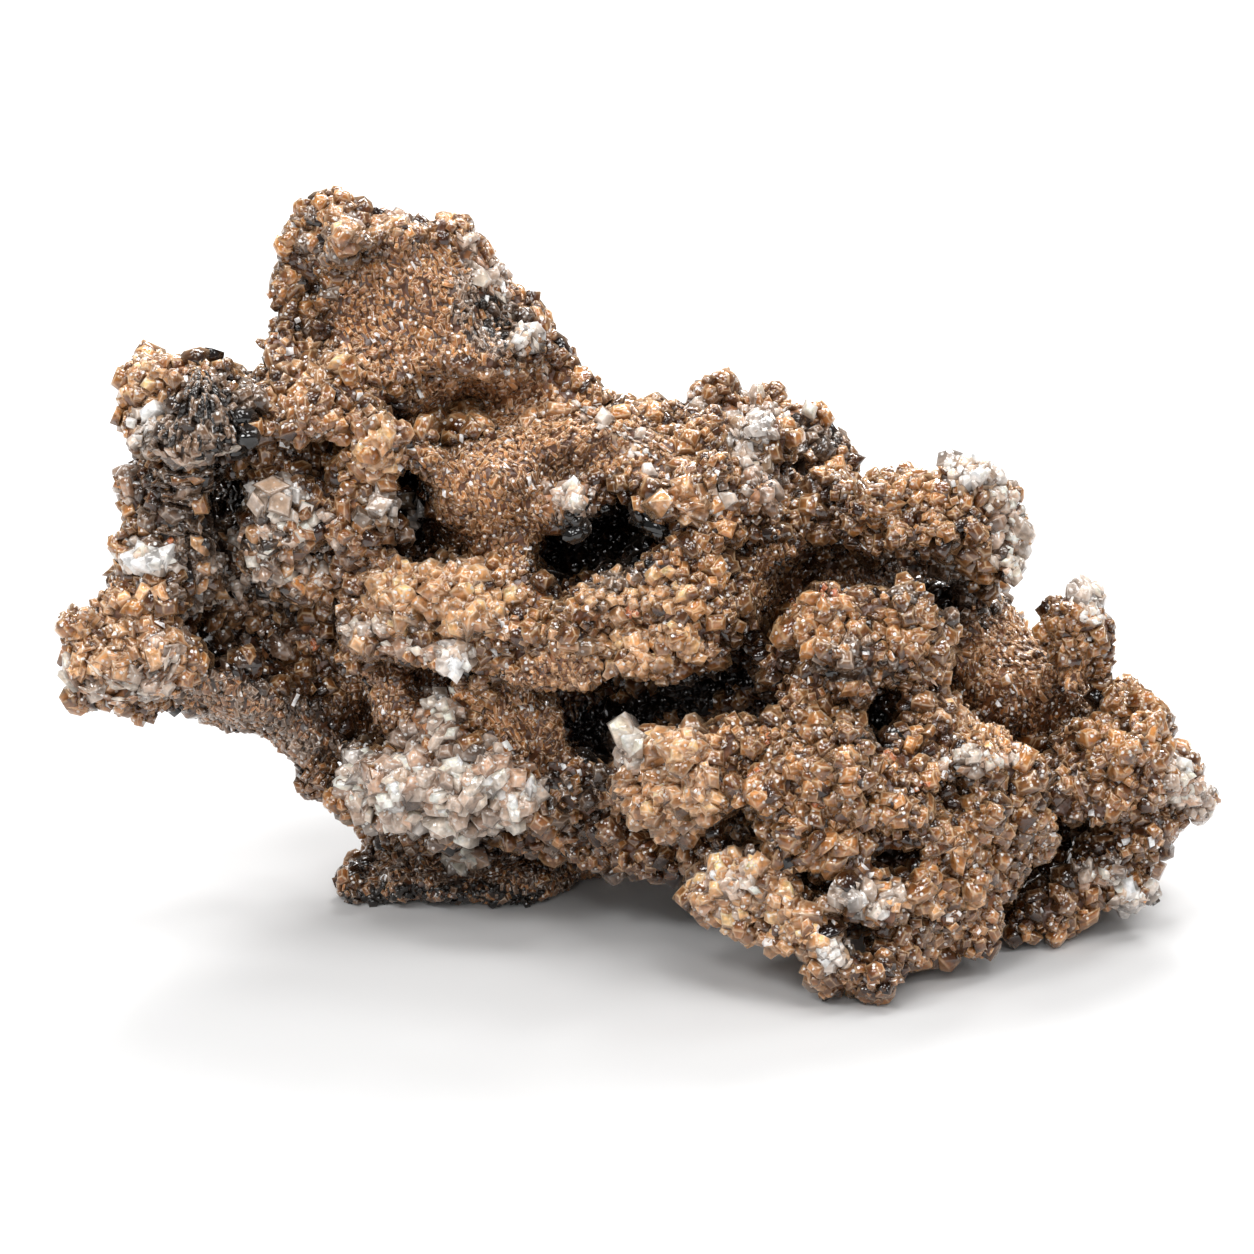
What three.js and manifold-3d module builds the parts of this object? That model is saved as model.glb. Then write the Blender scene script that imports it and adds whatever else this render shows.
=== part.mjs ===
// A barite crystal cluster: a jagged lump with a blunt peak, an arched saddle over two dark hollows,
// three low contact points and a skin of small blocky crystals grown into one piece.
// Lengths are in millimetres, +Z is up and the front faces -Y.
import * as THREE from "three";
import { MarchingCubes } from "three/addons/objects/MarchingCubes.js";
import { SimplifyModifier } from "three/addons/modifiers/SimplifyModifier.js";
import { ImprovedNoise } from "three/addons/math/ImprovedNoise.js";
import { mergeVertices } from "three/addons/utils/BufferGeometryUtils.js";
import Module from "manifold-3d";

// Lumps are laid out as they look from a standpoint in front of the piece and a little above it:
// across to the right, rise up the view, and depth back along +Y from the middle.
const VIEW_DISTANCE = 500;
const VIEW_ELEVATION = THREE.MathUtils.degToRad(20);
const MIDDLE_HEIGHT = 29.5;

// The block that the surface is traced in, and the size of its cells.
const BLOCK_SIDE = 130;
const BLOCK_MIDDLE_HEIGHT = 33.5;
const CELL = 1.15;
const TRACED_TRIANGLES = 300000;
const BODY_TRIANGLES = 9600;

// The thinnest skin beside the surface that a cell corner may hold, and the gap that parts two
// corners that would meet in one point.
const LEAST_DEPTH = 0.05 * CELL;
const PINCH_GAP = 0.05;

// How far neighbouring lumps melt into each other, and how soft the rims of the hollows are.
const MASS_BLEND = 2;
const KNOB_BLEND = 0.5;
const HOLLOW_BLEND = 0.9;

// Uneven relief over the big masses, which are drawn in a little so that crystals can stand on them.
// Farther out than BARE_REACH nothing stands on a mass.
const WRINKLE_LENGTH = 9;
const WRINKLE_HEIGHT = 1.1;
const DRAWN_IN = 0.8;
const BARE_REACH = 9;

// The faces of a barite crystal: two pairs of prism sides 78 degrees apart, domes and flat ends,
// each as far from the middle as its share of the crystal's radius.
const PRISM_X = Math.sin(THREE.MathUtils.degToRad(51));
const PRISM_Y = Math.cos(THREE.MathUtils.degToRad(51));
const PRISM_REACH = 0.86;
const DOME_X = Math.sin(THREE.MathUtils.degToRad(48));
const DOME_Z = Math.cos(THREE.MathUtils.degToRad(48));
const DOME_REACH = 1;
const END_REACH = 0.92;

// Crystals scattered over the surface, one to a lattice cell, and coarser on the back.
const SCATTER_SPACING = 3.7;
const SCATTER_LEAST = 1;
const SCATTER_MOST = 1.8;
const BACK_GROWTH = 1.7;
const BACK_START = 6;

// How deep a crystal sits in the body as a share of its radius, and how thick the listed ones are.
const CRYSTAL_SEAT = 0.6;
const CRYSTAL_GROWTH = 1.1;
const KNOB_GROWTH = 0.94;

// How far apart the body is sampled for its slope, and how a sight line is walked to the surface.
const SLOPE_REACH = 0.8;
const SIGHT_SHARE = 0.4;
const SIGHT_STRIDE = 0.1;
const SIGHT_TOUCH = 0.05;

// A place well inside the body, as across, rise and depth.
const HEART = [-22, 6, 9];

const RIGHT = new THREE.Vector3(1, 0, 0);
const RISE = new THREE.Vector3(0, Math.sin(VIEW_ELEVATION), Math.cos(VIEW_ELEVATION));
const INTO = new THREE.Vector3(0, Math.cos(VIEW_ELEVATION), -Math.sin(VIEW_ELEVATION));
const MIDDLE = new THREE.Vector3(0, 0, MIDDLE_HEIGHT);

// The point that is seen at (across, rise) from the standpoint and lies `depth` behind the middle.
function seen(across, rise, depth) {
  const eye = MIDDLE.clone().addScaledVector(INTO, -VIEW_DISTANCE);
  const ray = INTO.clone().multiplyScalar(VIEW_DISTANCE);
  ray.addScaledVector(RIGHT, across);
  ray.addScaledVector(RISE, rise);
  return eye.addScaledVector(ray, (depth - eye.y) / ray.y);
}

// An ellipsoidal lump with its half sizes across, back and up the view, leaning anticlockwise.
function lump(across, rise, depth, halfWidth, halfDepth, halfHeight, lean = 0) {
  const turn = THREE.MathUtils.degToRad(lean);
  const sideways = RIGHT.clone().multiplyScalar(Math.cos(turn)).addScaledVector(RISE, Math.sin(turn));
  const upward = RISE.clone().multiplyScalar(Math.cos(turn)).addScaledVector(RIGHT, -Math.sin(turn));
  return {
    kind: "lump",
    centre: seen(across, rise, depth),
    axes: [sideways, INTO, upward],
    halves: [halfWidth, halfDepth, halfHeight],
  };
}

// A repeatable number from 0 to 1 for a place on a lattice.
function chance(i, j, k, salt) {
  const wave = Math.sin(i * 127.1 + j * 311.7 + k * 74.7 + salt * 53.9) * 43758.5453;
  return wave - Math.floor(wave);
}

// A blocky crystal of a given radius about a centre, turned by chance.
function crystalAt(centre, radius) {
  const cast = [1, 2, 3, 4].map((salt) => chance(centre.x, centre.y, centre.z, salt) - 0.5);
  const turn = new THREE.Quaternion(...cast).normalize();
  const axes = [0, 1, 2].map((index) => new THREE.Vector3().setComponent(index, 1).applyQuaternion(turn));
  return { kind: "crystal", centre, axes, radius };
}

// A blocky crystal as thick as a knob.
function knob(across, rise, depth, radius) {
  return crystalAt(seen(across, rise, depth), KNOB_GROWTH * radius);
}

// A rounded bar between two seen points, thicker or thinner towards its end.
function bar(from, to, startRadius, endRadius = startRadius) {
  return {
    kind: "bar",
    start: seen(...from),
    end: seen(...to),
    startRadius,
    endRadius,
  };
}

// The big masses that carry everything else.
const masses = [
  // peak
  lump(-28.5, 34.5, 6, 5, 6.5, 7),
  lump(-22, 33.5, 6, 7.5, 8, 7.6),
  lump(-17, 30.5, 7, 6, 8.5, 7.5, 20),
  lump(-12, 26, 8, 5, 8, 5, 25),
  lump(-24, 26, 6, 10, 10, 8),
  // left block and its flared wing
  lump(-42.5, 20.5, 0, 6.6, 8, 6),
  lump(-45, 13, 0, 4.4, 8, 8),
  lump(-44.5, 6, -1, 5.6, 8, 7),
  lump(-36, 19, 3, 8, 9, 6.4),
  lump(-49, -2, -5, 5.2, 5, 3.4),
  lump(-45, -4.6, -5, 5.2, 7, 3.6),
  lump(-38, -6.6, -1, 8, 8, 4.6, -20),
  lump(-31.4, -10, 1, 6, 8, 4.8, -24),
  lump(-30.5, -15.3, 8, 2.6, 5, 2),
  // middle of the left half
  lump(-25, 5, 10, 19, 13, 15),
  lump(-31, 9, 1, 8, 6, 6),
  lump(-18, 1, -2, 8.5, 7, 6),
  lump(-14, -8, -2, 9, 7, 7),
  lump(-20, -13, -1, 7, 6, 6),
  lump(-7, -17, -1, 8, 8, 6.4),
  lump(-18, -20, 7, 9, 8, 4.4),
  // saddle over the upper hollow
  lump(-13.5, 14, 0, 7.6, 9, 7.6, 35),
  lump(-5, 18, 3, 8, 8.5, 4, 8),
  lump(4, 17.4, 3, 7.4, 8.5, 4, -8),
  lump(10, 13, 1, 5, 8, 6.4),
  lump(-12.5, 6.5, -2, 4.4, 6, 7),
  lump(11, 4, -3, 4.6, 7, 7),
  // foot
  lump(-17, -25.4, 10, 11.4, 9.5, 3.1),
  lump(-7, -23.4, 9, 7.5, 9, 4, 10),
  // front mass
  lump(22, -3, -8, 8, 6, 6),
  lump(6, -15.5, -13, 5, 6, 5.4),
  lump(22, -15, -11, 12, 11, 9),
  lump(32, -18, -9, 8, 10, 9),
  lump(26, -25, -14, 9, 8, 6),
  lump(13, -25, -17, 5.5, 6, 4.4, -35),
  lump(20, -27, -18, 5.5, 6, 4),
  // right arm, the slope under it and the right lobe
  lump(17, 10, 1, 6, 7, 5),
  lump(24, 10.5, 1, 6, 6, 4),
  lump(33, 10.5, 0, 5, 5, 4.6),
  lump(15, 2, 10, 17, 13, 12),
  lump(31, -1, 8, 9, 9, 7),
  lump(38, -6.5, 6, 9, 10, 6.6),
  lump(46, -14, 3, 8.6, 11, 6),
  lump(47.2, -19.4, 2, 6.6, 9, 5.6),
  lump(41, -26, -3, 4.6, 7, 4),
  // ledge behind the saddle
  lump(13, 18.6, 19, 6, 6, 3.2, -12),
  lump(18.4, 14.6, 19, 5, 6, 3, -28),
  // the hidden back
  lump(-38, 3, 5, 7, 6, 7),
  lump(-34, 16, 14, 8, 8, 7, 20),
  lump(-27, 8, 19, 9, 6, 9, -15),
  lump(-20, 22, 15, 8, 7, 6, 30),
  lump(-14, 8, 21, 9, 7, 7, 10),
  lump(-9, -3, 22, 10, 6, 7, -20),
  lump(-2, 12, 16, 9, 8, 6, 15),
  lump(-4, 7, 14, 9, 5, 7),
  lump(4, 1, 22, 9, 6, 8, 30),
  lump(2, -6, 17, 10, 8, 7),
  lump(13, 9, 17, 8, 7, 6, -10),
  lump(20, -3, 22, 9, 7, 6, 15),
  lump(29, 4, 17, 8, 7, 5, -25),
  lump(33, -9, 15, 8, 7, 6),
  lump(14, -13, 18, 10, 9, 6.5, -10),
  lump(-8, -13, 19, 9, 8, 6.5, 12),
  lump(4, -17, 15, 8, 7, 5),
];

const peakKnobs = [
  knob(-32.2, 37.6, 3, 2),
  knob(-31.6, 40, 4, 1.7),
  knob(-29, 41.4, 4, 1.9),
  knob(-27.5, 38.6, 0.5, 2.2),
  knob(-24.5, 39.8, 4, 2),
  knob(-22.3, 38.2, 1, 1.7),
  knob(-19.5, 38.8, 5, 1.9),
  knob(-32.4, 33, 3, 1.9),
  knob(-33, 30.4, 3, 1.8),
  bar([-18, 38, 7], [-15.5, 35.2, 8], 2.2),
  bar([-14.6, 34.4, 7], [-9.8, 30.6, 8], 1.7),
  knob(-10.4, 28.4, 2, 1.6),
  knob(-8.6, 27.4, 4, 1.9),
  knob(-33, 26.8, 0, 2.4),
  knob(-33.2, 29.2, 4, 2.2),
  knob(-29.5, 26.3, -1, 2.2),
  bar([-21, 26.6, -0.5], [-12, 26, 1], 1.8),
];

const leftKnobs = [
  knob(-46.4, 25.6, -3, 1.9),
  knob(-48.2, 23.8, -3, 2),
  knob(-48.6, 21.4, -4, 2),
  knob(-47, 19.6, -7, 2.2),
  knob(-48.2, 16.6, -3, 1.8),
  knob(-48.4, 13.4, -4, 2.3),
  knob(-48.6, 11.2, -4, 1.9),
  knob(-48, 9.4, -5, 2.3),
  knob(-48.4, 5.6, -6, 2.6),
  knob(-45.6, 4, -8, 2.3),
  knob(-44, 9.6, -6, 2),
  // fan of ribs hanging from the top corner
  lump(-42.3, 21.6, -6, 4.4, 3.6, 4.6),
  bar([-42.6, 25.4, -4], [-45.6, 18.8, -9.4], 0.9),
  bar([-42.6, 25.4, -4], [-43.3, 17.8, -10], 0.9),
  bar([-42.6, 25.4, -4], [-40.8, 18, -10], 0.9),
  bar([-42.6, 25.4, -4], [-38.6, 19, -9], 0.9),
  bar([-39.6, 26.2, -4], [-36.4, 20.2, -7], 1.1),
  // thin shelves under the fan
  bar([-46.8, 17.6, -8.6], [-43.2, 16.3, -10], 0.9),
  bar([-43.2, 16.3, -10], [-37.8, 17.8, -8.4], 0.9),
  bar([-46.2, 14.6, -7.6], [-41.2, 15, -7.6], 0.9),
  bar([-46.6, 12.8, -7.4], [-41, 13.2, -7], 0.9),
  // wing
  bar([-48, 4, -6], [-53, 1, -6], 2.2, 1.4),
  bar([-47, 2, -7], [-54.6, -0.4, -7], 2.4, 1.5),
  bar([-47, -1, -9], [-54.8, -4.8, -9], 2.6, 1.6),
  bar([-44.5, -2.4, -9], [-50, -6, -10], 1.9, 1.6),
  bar([-50, -6.4, -9], [-54, -6.4, -9], 1.7, 1.5),
  bar([-41, -8.2, -4], [-51, -7.2, -8], 1.6),
  knob(-40, -5.4, -7, 2),
  knob(-36, -7.6, -6, 2.2),
  // ledge
  bar([-34, 23.4, -3], [-29, 23.2, -4], 2.6),
  bar([-35.4, 20.5, -6], [-29.4, 20.5, -7], 1.5),
  knob(-25.2, 19.6, -6, 2.6),
  knob(-24.4, 17.2, -6.4, 2.5),
  knob(-20.2, 16.6, -5.4, 2.3),
  knob(-18, 14.8, -5, 1.6),
];

const clusterKnobs = [
  knob(-36, 12.8, -4, 2.1),
  knob(-33, 13.2, -5, 2),
  knob(-30.4, 11.8, -5, 1.9),
  knob(-28, 13.2, -4, 1.8),
  knob(-24.4, 12.2, -5, 2.1),
  knob(-36.4, 9.4, -5, 2.1),
  knob(-33.4, 9.2, -5.6, 2),
  knob(-30.6, 8.8, -5.6, 1.9),
  knob(-26.4, 8.2, -5.4, 2),
  knob(-23.2, 8.4, -4.4, 1.7),
  knob(-35.8, 5.8, -4.6, 2),
  knob(-32.8, 5, -4.4, 2),
  knob(-29, 5.4, -4.4, 1.8),
  knob(-28.4, 2.6, -4, 1.6),
];

const cheekKnobs = [
  knob(-24, 3.8, -6, 2.8),
  knob(-22, 0.6, -8, 2.8),
  knob(-18.6, 3, -8, 3),
  knob(-14.6, 2.8, -8, 3),
  knob(-12.6, 0, -9.6, 3),
  knob(-16.6, -0.4, -9.6, 2.8),
  knob(-9.6, 3.2, -7, 2.4),
  bar([-28.4, -0.6, -7], [-23, -1.8, -9], 1.7),
  bar([-23, -1.8, -9], [-17.4, -2.8, -11], 1.7, 1.9),
  knob(-28, -3, -6, 1.7),
  knob(-23.5, -7, -5, 3),
  knob(-15, -5, -8.6, 2),
  knob(-12.4, -7.4, -7, 2.6),
];

const paleKnobs = [
  knob(-18, -7, -8.4, 1.5),
  knob(-19.6, -9.8, -8.4, 2),
  knob(-16.8, -11, -9, 2.3),
  knob(-20.6, -12.4, -8, 2.1),
  knob(-25.6, -14, -6, 2.5),
  knob(-26.4, -17, -6, 2.5),
  knob(-22.6, -15.4, -9, 2.8),
  knob(-22, -18, -8.6, 2.1),
  knob(-17.4, -14.6, -10, 2.8),
  knob(-18, -18, -9.6, 2.6),
  knob(-17.4, -20.4, -8.6, 1.6),
  knob(-13.2, -14.2, -10, 2.7),
  knob(-10.8, -16.2, -10.4, 2.3),
  knob(-9.8, -18.6, -10, 2.1),
  knob(-13.8, -18.2, -9.4, 2.3),
  knob(-10.6, -10.4, -8, 3),
  knob(-7.6, -13.4, -8, 2.6),
  knob(-7.2, -9.6, -7, 2.3),
  knob(-5.8, -16.4, -8, 2.4),
  knob(-3.4, -15.4, -9, 2.2),
  knob(-1.6, -19.6, -9, 2.5),
  knob(-5.4, -20, -7, 2.8),
  knob(0.4, -16.8, -9, 2),
  bar([-2.4, -22, -7], [6.6, -23.6, -12], 2.1, 2),
];

const footKnobs = [
  lump(-26.2, -26.2, 3, 3.2, 5, 2.4),
  bar([-26.6, -24.2, 3], [-28, -25.2, 4], 1.6, 1.3),
  knob(-22.4, -25.8, 0.6, 3.1),
  knob(-17.6, -26, 0.4, 3.3),
  knob(-12.6, -26, 0.4, 3.3),
  knob(-8.4, -25.4, 1.4, 3),
];

const archKnobs = [
  bar([-9, 11, -3], [0.6, 15, -3], 2.4),
  bar([-7, 2, -5], [4.6, 6.4, -4], 2.5),
  knob(-6.6, 24, 5, 2.4),
  knob(-3.4, 21.8, 4, 2),
  knob(-5.9, 12.9, -8, 1.8),
  knob(-5.4, 9.6, -8, 1.7),
  lump(2.6, 11.8, -7.4, 2.4, 2.2, 1.8, -25),
  knob(5, 13.6, -7, 2.6),
  knob(8, 14.4, -7, 2.8),
  knob(7.6, 10.2, -8, 2.7),
  knob(7.6, 6.4, -9, 2.8),
  knob(12.4, 18.4, 0, 3),
  knob(8.2, 18.6, -1, 2.4),
  knob(14.6, 16.6, 0, 2.4),
  bar([-8, 20, 1], [4, 20.6, 2], 1.9),
  knob(13.4, 12.4, -6, 2.1),
  knob(14.6, 8.6, -7, 2.5),
];

const bridgeKnobs = [
  bar([-10, -2, -8], [9.6, 0.6, -9], 3),
  knob(-3.4, 3, -9, 2.2),
  knob(0, 4.4, -9, 2.3),
  knob(3.2, 4.6, -10, 2.4),
  knob(6.6, 3.2, -11, 2.8),
  knob(10, 1.4, -10.4, 2.7),
  knob(10.6, 4.4, -9, 2.2),
  knob(3, 1, -12, 2.8),
  knob(-1.6, 0, -12, 3),
  knob(0.6, -2.4, -12.4, 2.7),
  knob(4.2, -2.4, -12, 2.4),
  knob(8.6, -2.6, -11, 2),
  knob(5.4, -4.2, -11, 1.7),
  knob(-5.2, -1.8, -12, 3),
  knob(-4, -4.8, -11.4, 2.2),
  knob(-8.4, -4, -10.4, 2.8),
  knob(-9.4, -0.8, -9.6, 2.8),
];

const rosetteKnobs = [
  knob(19.4, 2, -11, 2.7),
  knob(23, 2.2, -10.6, 2.5),
  knob(26.8, 1.4, -11, 2.7),
  knob(29.8, -1, -11.4, 2.6),
  knob(30.6, -3.4, -11, 2),
  knob(17.2, -0.6, -12, 2.6),
  knob(15.2, -3.2, -11.6, 2.4),
  knob(20, -2.6, -14, 3),
  knob(23.6, -3.4, -14, 2.5),
  knob(27.4, -3.8, -13, 2.7),
  knob(17.8, -6.2, -13, 2.8),
  knob(22, -6.8, -14, 2.8),
  bar([28.6, -5.6, -11], [34.4, -10.6, -11], 1.9),
];

const frontKnobs = [
  knob(2.2, -12.4, -15, 2.4),
  knob(6.4, -12.4, -17, 3),
  knob(1.8, -15.4, -15.4, 2.1),
  knob(3.4, -17.6, -17, 2.7),
  knob(8, -16.6, -19, 3.1),
  knob(5, -19.8, -17, 2.4),
  knob(12, -12.2, -17, 2.8),
  knob(16, -10.8, -17, 2.6),
  knob(21.6, -11.8, -19, 2.8),
  knob(13, -16.4, -20, 3),
  knob(18, -15.2, -21, 3),
  knob(22.6, -17, -22, 2.8),
  knob(17.2, -20.4, -22, 3),
  knob(22.2, -22, -22.6, 3),
  knob(31, -9.8, -14, 2.3),
  knob(28.8, -12.8, -15.6, 2.2),
  bar([30.8, -14.4, -18], [33.4, -13, -17.4], 1.5),
  bar([33.4, -13, -17.4], [38.8, -13.4, -15.4], 1.5),
  bar([38.8, -13.4, -15.4], [40, -16.4, -14.4], 1.6),
  knob(36.2, -10.8, -13, 1.9),
  knob(36.2, -18.2, -17.6, 2.4),
  knob(39.4, -18.6, -14.4, 2.1),
  knob(26.4, -18.4, -21, 2.7),
  knob(28.6, -15.6, -19.4, 2),
  knob(29.6, -20.6, -20.6, 2.3),
  knob(32.8, -21.4, -19, 2.3),
  knob(36.4, -21.6, -16.6, 2.3),
  knob(38.2, -23.4, -14.6, 2),
  knob(33.2, -24.4, -19, 2.4),
  knob(37.2, -26, -15.6, 2),
  knob(22.2, -26.4, -24, 2.2),
  knob(25.6, -27.2, -24, 2.3),
  knob(29, -25.8, -21.6, 2.5),
  knob(32, -28.4, -20, 2.3),
  knob(35.4, -28.4, -17.6, 2.3),
  bar([29.4, -31, -20], [33.4, -30.8, -18], 2),
  bar([27, -28.4, -20.6], [27.4, -32.4, -21], 2.2),
];

const prongKnobs = [
  knob(9.6, -23.6, -19, 2.5),
  knob(8.8, -27, -20, 2.4),
  knob(12.6, -25.2, -22, 2.7),
  knob(12, -29, -22, 2.2),
  knob(15.8, -28.2, -24, 2.4),
  bar([15.4, -30.4, -23], [18.2, -31.2, -24.4], 1.9, 2.3),
  bar([18, -29.4, -24], [20.4, -33, -26], 2.4, 2.1),
  bar([20.2, -33.4, -25.4], [20.6, -36.6, -24.6], 1.8, 1.1),
  bar([26, -30, -22], [25.2, -34, -24.6], 2.1, 2.3),
  lump(25.1, -35.2, -25, 2.7, 2.8, 2.7),
];

const armKnobs = [
  knob(20, 12.4, -3, 2.6),
  knob(23.2, 10.8, -4, 2.7),
  knob(26.2, 13, -3, 2.4),
  knob(29.2, 13.4, -2, 2.1),
  knob(32, 13.4, -3, 2.6),
  knob(34.4, 14.6, -2, 2.2),
  knob(36.6, 12.6, -2, 2.1),
  knob(38, 9.8, -2, 2),
  knob(37, 7, -3, 2.2),
  knob(33.4, 9.4, -5, 2.8),
  knob(29.8, 9.8, -5, 2.8),
  knob(26.4, 9.2, -5, 2.6),
  knob(23, 7.8, -5, 2.2),
  knob(32.2, 6.4, -4, 1.9),
  knob(36.2, 4.8, -1, 1.7),
  knob(34, 2.6, 0, 2.2),
];

const rightKnobs = [
  knob(44.8, 1.2, -2, 2.6),
  knob(42.6, -1.4, -2, 2.3),
  knob(46.4, -1, -2, 2),
  knob(43.8, -3.6, -2.6, 2.4),
  knob(46.2, -4, -1.4, 1.8),
  knob(49, -8.6, -3, 2.2),
  knob(51.6, -9, -4, 2.2),
  knob(53, -11, -4, 2.1),
  knob(50.2, -11.8, -7, 2.7),
  knob(46, -11.4, -6, 2.6),
  knob(54.6, -13.4, -4, 2),
  knob(47, -14.4, -8.4, 2.7),
  knob(55.2, -16, -5, 2.1),
  bar([54.4, -17.4, -5], [57.2, -17.8, -5], 2, 1.4),
  knob(51.8, -15.8, -8, 2.6),
  knob(43, -14.4, -8.4, 2.4),
  knob(42.8, -17.2, -10, 2.5),
  knob(47, -17.6, -10, 2.6),
  knob(51, -20, -8, 2.7),
  knob(53.4, -20, -5, 2.1),
  knob(51.2, -22.8, -6, 2.2),
  knob(47, -24.2, -8, 2.4),
  knob(50, -25.8, -7, 2.3),
  knob(46.4, -27, -8.6, 1.9),
  knob(43, -27.2, -10, 2.4),
  knob(39.6, -28.4, -11, 2.3),
  bar([38.4, -29.8, -11.6], [42.8, -29.6, -10.6], 1.7),
];

const ledgeKnobs = [
  knob(8, 20.4, 19, 1.7),
  knob(11, 21, 19, 2.3),
  knob(14.4, 20.6, 18, 2.4),
  knob(17.4, 18.4, 17, 2.3),
  knob(20.2, 15.6, 16, 1.9),
  knob(22, 13.4, 15, 1.5),
];

// Every thick crystal, ridge and shelf that stands out of the big masses.
const outgrowths = [
  ...peakKnobs,
  ...leftKnobs,
  ...clusterKnobs,
  ...cheekKnobs,
  ...paleKnobs,
  ...footKnobs,
  ...archKnobs,
  ...bridgeKnobs,
  ...rosetteKnobs,
  ...frontKnobs,
  ...prongKnobs,
  ...armKnobs,
  ...rightKnobs,
  ...ledgeKnobs,
];

// Hollows, pits and creases cut into the lumps.
const hollows = [
  lump(-2.6, 8.2, -3, 6, 12, 2.9, 24),
  lump(-5.4, 6, -6, 2.6, 8, 2.3, 10),
  lump(4.4, -7.2, -4, 8.8, 12, 2, 20),
  lump(-2.6, -10.2, -6, 2.6, 9, 2.8, 20),
  lump(-21.4, 11.6, -7, 1.5, 4, 3.2),
  lump(-39.6, 9, -9, 1.8, 4.4, 6, -8),
  lump(-38.6, 2, -9, 5.4, 5, 2.4, -20),
  lump(-33, -1.6, -8, 5, 5, 2.4, -25),
  lump(-33, 16.8, -9, 3.6, 4, 1.2),
  lump(-13.4, 31.4, 0, 1.7, 4, 3, 40),
  lump(-15, 23, -2, 6, 3.4, 1.3),
  lump(24.7, -9.6, -17, 1.5, 8, 2.6),
  lump(24.6, -0.6, -15, 2, 3.4, 1.2),
  lump(33.6, -16.4, -21, 1.6, 3.4, 1.6),
  lump(23.8, -31, -27, 0.9, 5, 3, -30),
  lump(44, -21.2, -13, 4.4, 4.6, 1.5),
  lump(22.4, 5.6, -8, 2.6, 5, 1.1),
  lump(13.4, -0.4, -14, 1.3, 4, 1.6),
];

// Stretches of fine sugary skin where no larger crystal stands.
const calm = [
  lump(-21, 33, 0, 8, 12, 6),
  lump(-14, 14, -6, 6, 8, 7, 35),
  lump(-4, 18.6, -3, 10, 8, 3.4),
  lump(38, -5, -2, 7, 9, 5),
  lump(-34, -10, -6, 6, 9, 3, -20),
];

// Larger crystals, each given as across, rise and radius, seated where that sight line meets the body.
const peakCrystals = [
  [-33.6, 37.4, 1.5],
  [-32.4, 39.8, 1.3],
  [-30.4, 40.6, 1.3],
  [-28.4, 41, 1.3],
  [-27.6, 39.2, 1.9],
  [-33.4, 33.4, 1.5],
  [-33.6, 30.6, 1.3],
  [-30.4, 35.6, 1.6],
  [-29.2, 32.2, 1.5],
  [-22.6, 38.6, 1.4],
  [-23.6, 41, 1.1],
  [-18.4, 39.2, 1.2],
  [-15, 35.8, 1.1],
  [-11, 31.8, 1.2],
  [-10.4, 28.6, 1.5],
  [-7.6, 27.6, 1.3],
];

const leftCrystals = [
  [-46.2, 26.2, 1.4],
  [-48.6, 24.4, 1.4],
  [-49.6, 21.6, 1.3],
  [-49.4, 16, 1.2],
  [-49.8, 13.4, 1.5],
  [-48.8, 9.6, 1.5],
  [-49.8, 5.6, 1.4],
  [-47.4, 6.4, 2.1],
  [-44, 9.6, 1.5],
  [-39.8, 26.6, 1.2],
  [-54, -0.2, 1.5],
  [-54.8, -4.6, 1.6],
  [-54, -6.6, 1.3],
  [-51.4, -6.8, 1.6],
  [-46, -6, 1.8],
  [-49, -3.4, 1.8],
  [-44.8, -2.4, 1.6],
  [-25.6, 20.4, 1.9],
  [-24.4, 17, 1.7],
  [-20.4, 17.2, 1.6],
  [-33, 26.6, 1.5],
];

const clusterCrystals = [
  [-36, 13, 1.9],
  [-33, 13.4, 1.9],
  [-30.4, 12, 1.6],
  [-28, 13.2, 1.6],
  [-24.4, 12.4, 1.8],
  [-36.4, 9.6, 1.9],
  [-33.4, 9.2, 1.7],
  [-30.8, 8.6, 1.7],
  [-26.4, 8.2, 1.7],
  [-23.2, 8.6, 1.4],
  [-35.8, 5.8, 1.6],
  [-33, 5, 1.7],
  [-29.2, 5.4, 1.5],
  [-28.2, 2.8, 1.4],
  [-20.8, 12, 1.2],
];

const cheekCrystals = [
  [-24.2, 4.6, 1.7],
  [-22, 1.6, 1.6],
  [-19, 4, 1.5],
  [-15.4, 3.6, 1.4],
  [-17.2, -2.8, 1.8],
  [-28.2, -1, 1.6],
  [-12, -0.6, 1.5],
  [-20.2, -0.2, 1.5],
  [-24.4, -1, 1.5],
];

const paleCrystals = [
  [-26.8, -16.8, 2],
  [-25.4, -14, 1.9],
  [-22.8, -15.2, 2.1],
  [-22.2, -18.2, 1.7],
  [-19.6, -10, 1.7],
  [-17, -11.4, 1.9],
  [-20.4, -12.6, 1.6],
  [-17.6, -14.8, 2],
  [-18, -18, 1.9],
  [-17.6, -20.4, 1.3],
  [-13.4, -14, 1.9],
  [-11.2, -16, 1.7],
  [-9.6, -18.6, 1.8],
  [-13.8, -18.2, 1.7],
  [-27, -24.4, 1.2],
  [-19.4, -24.6, 1.2],
  [-12.4, -25, 1.2],
];

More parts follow.
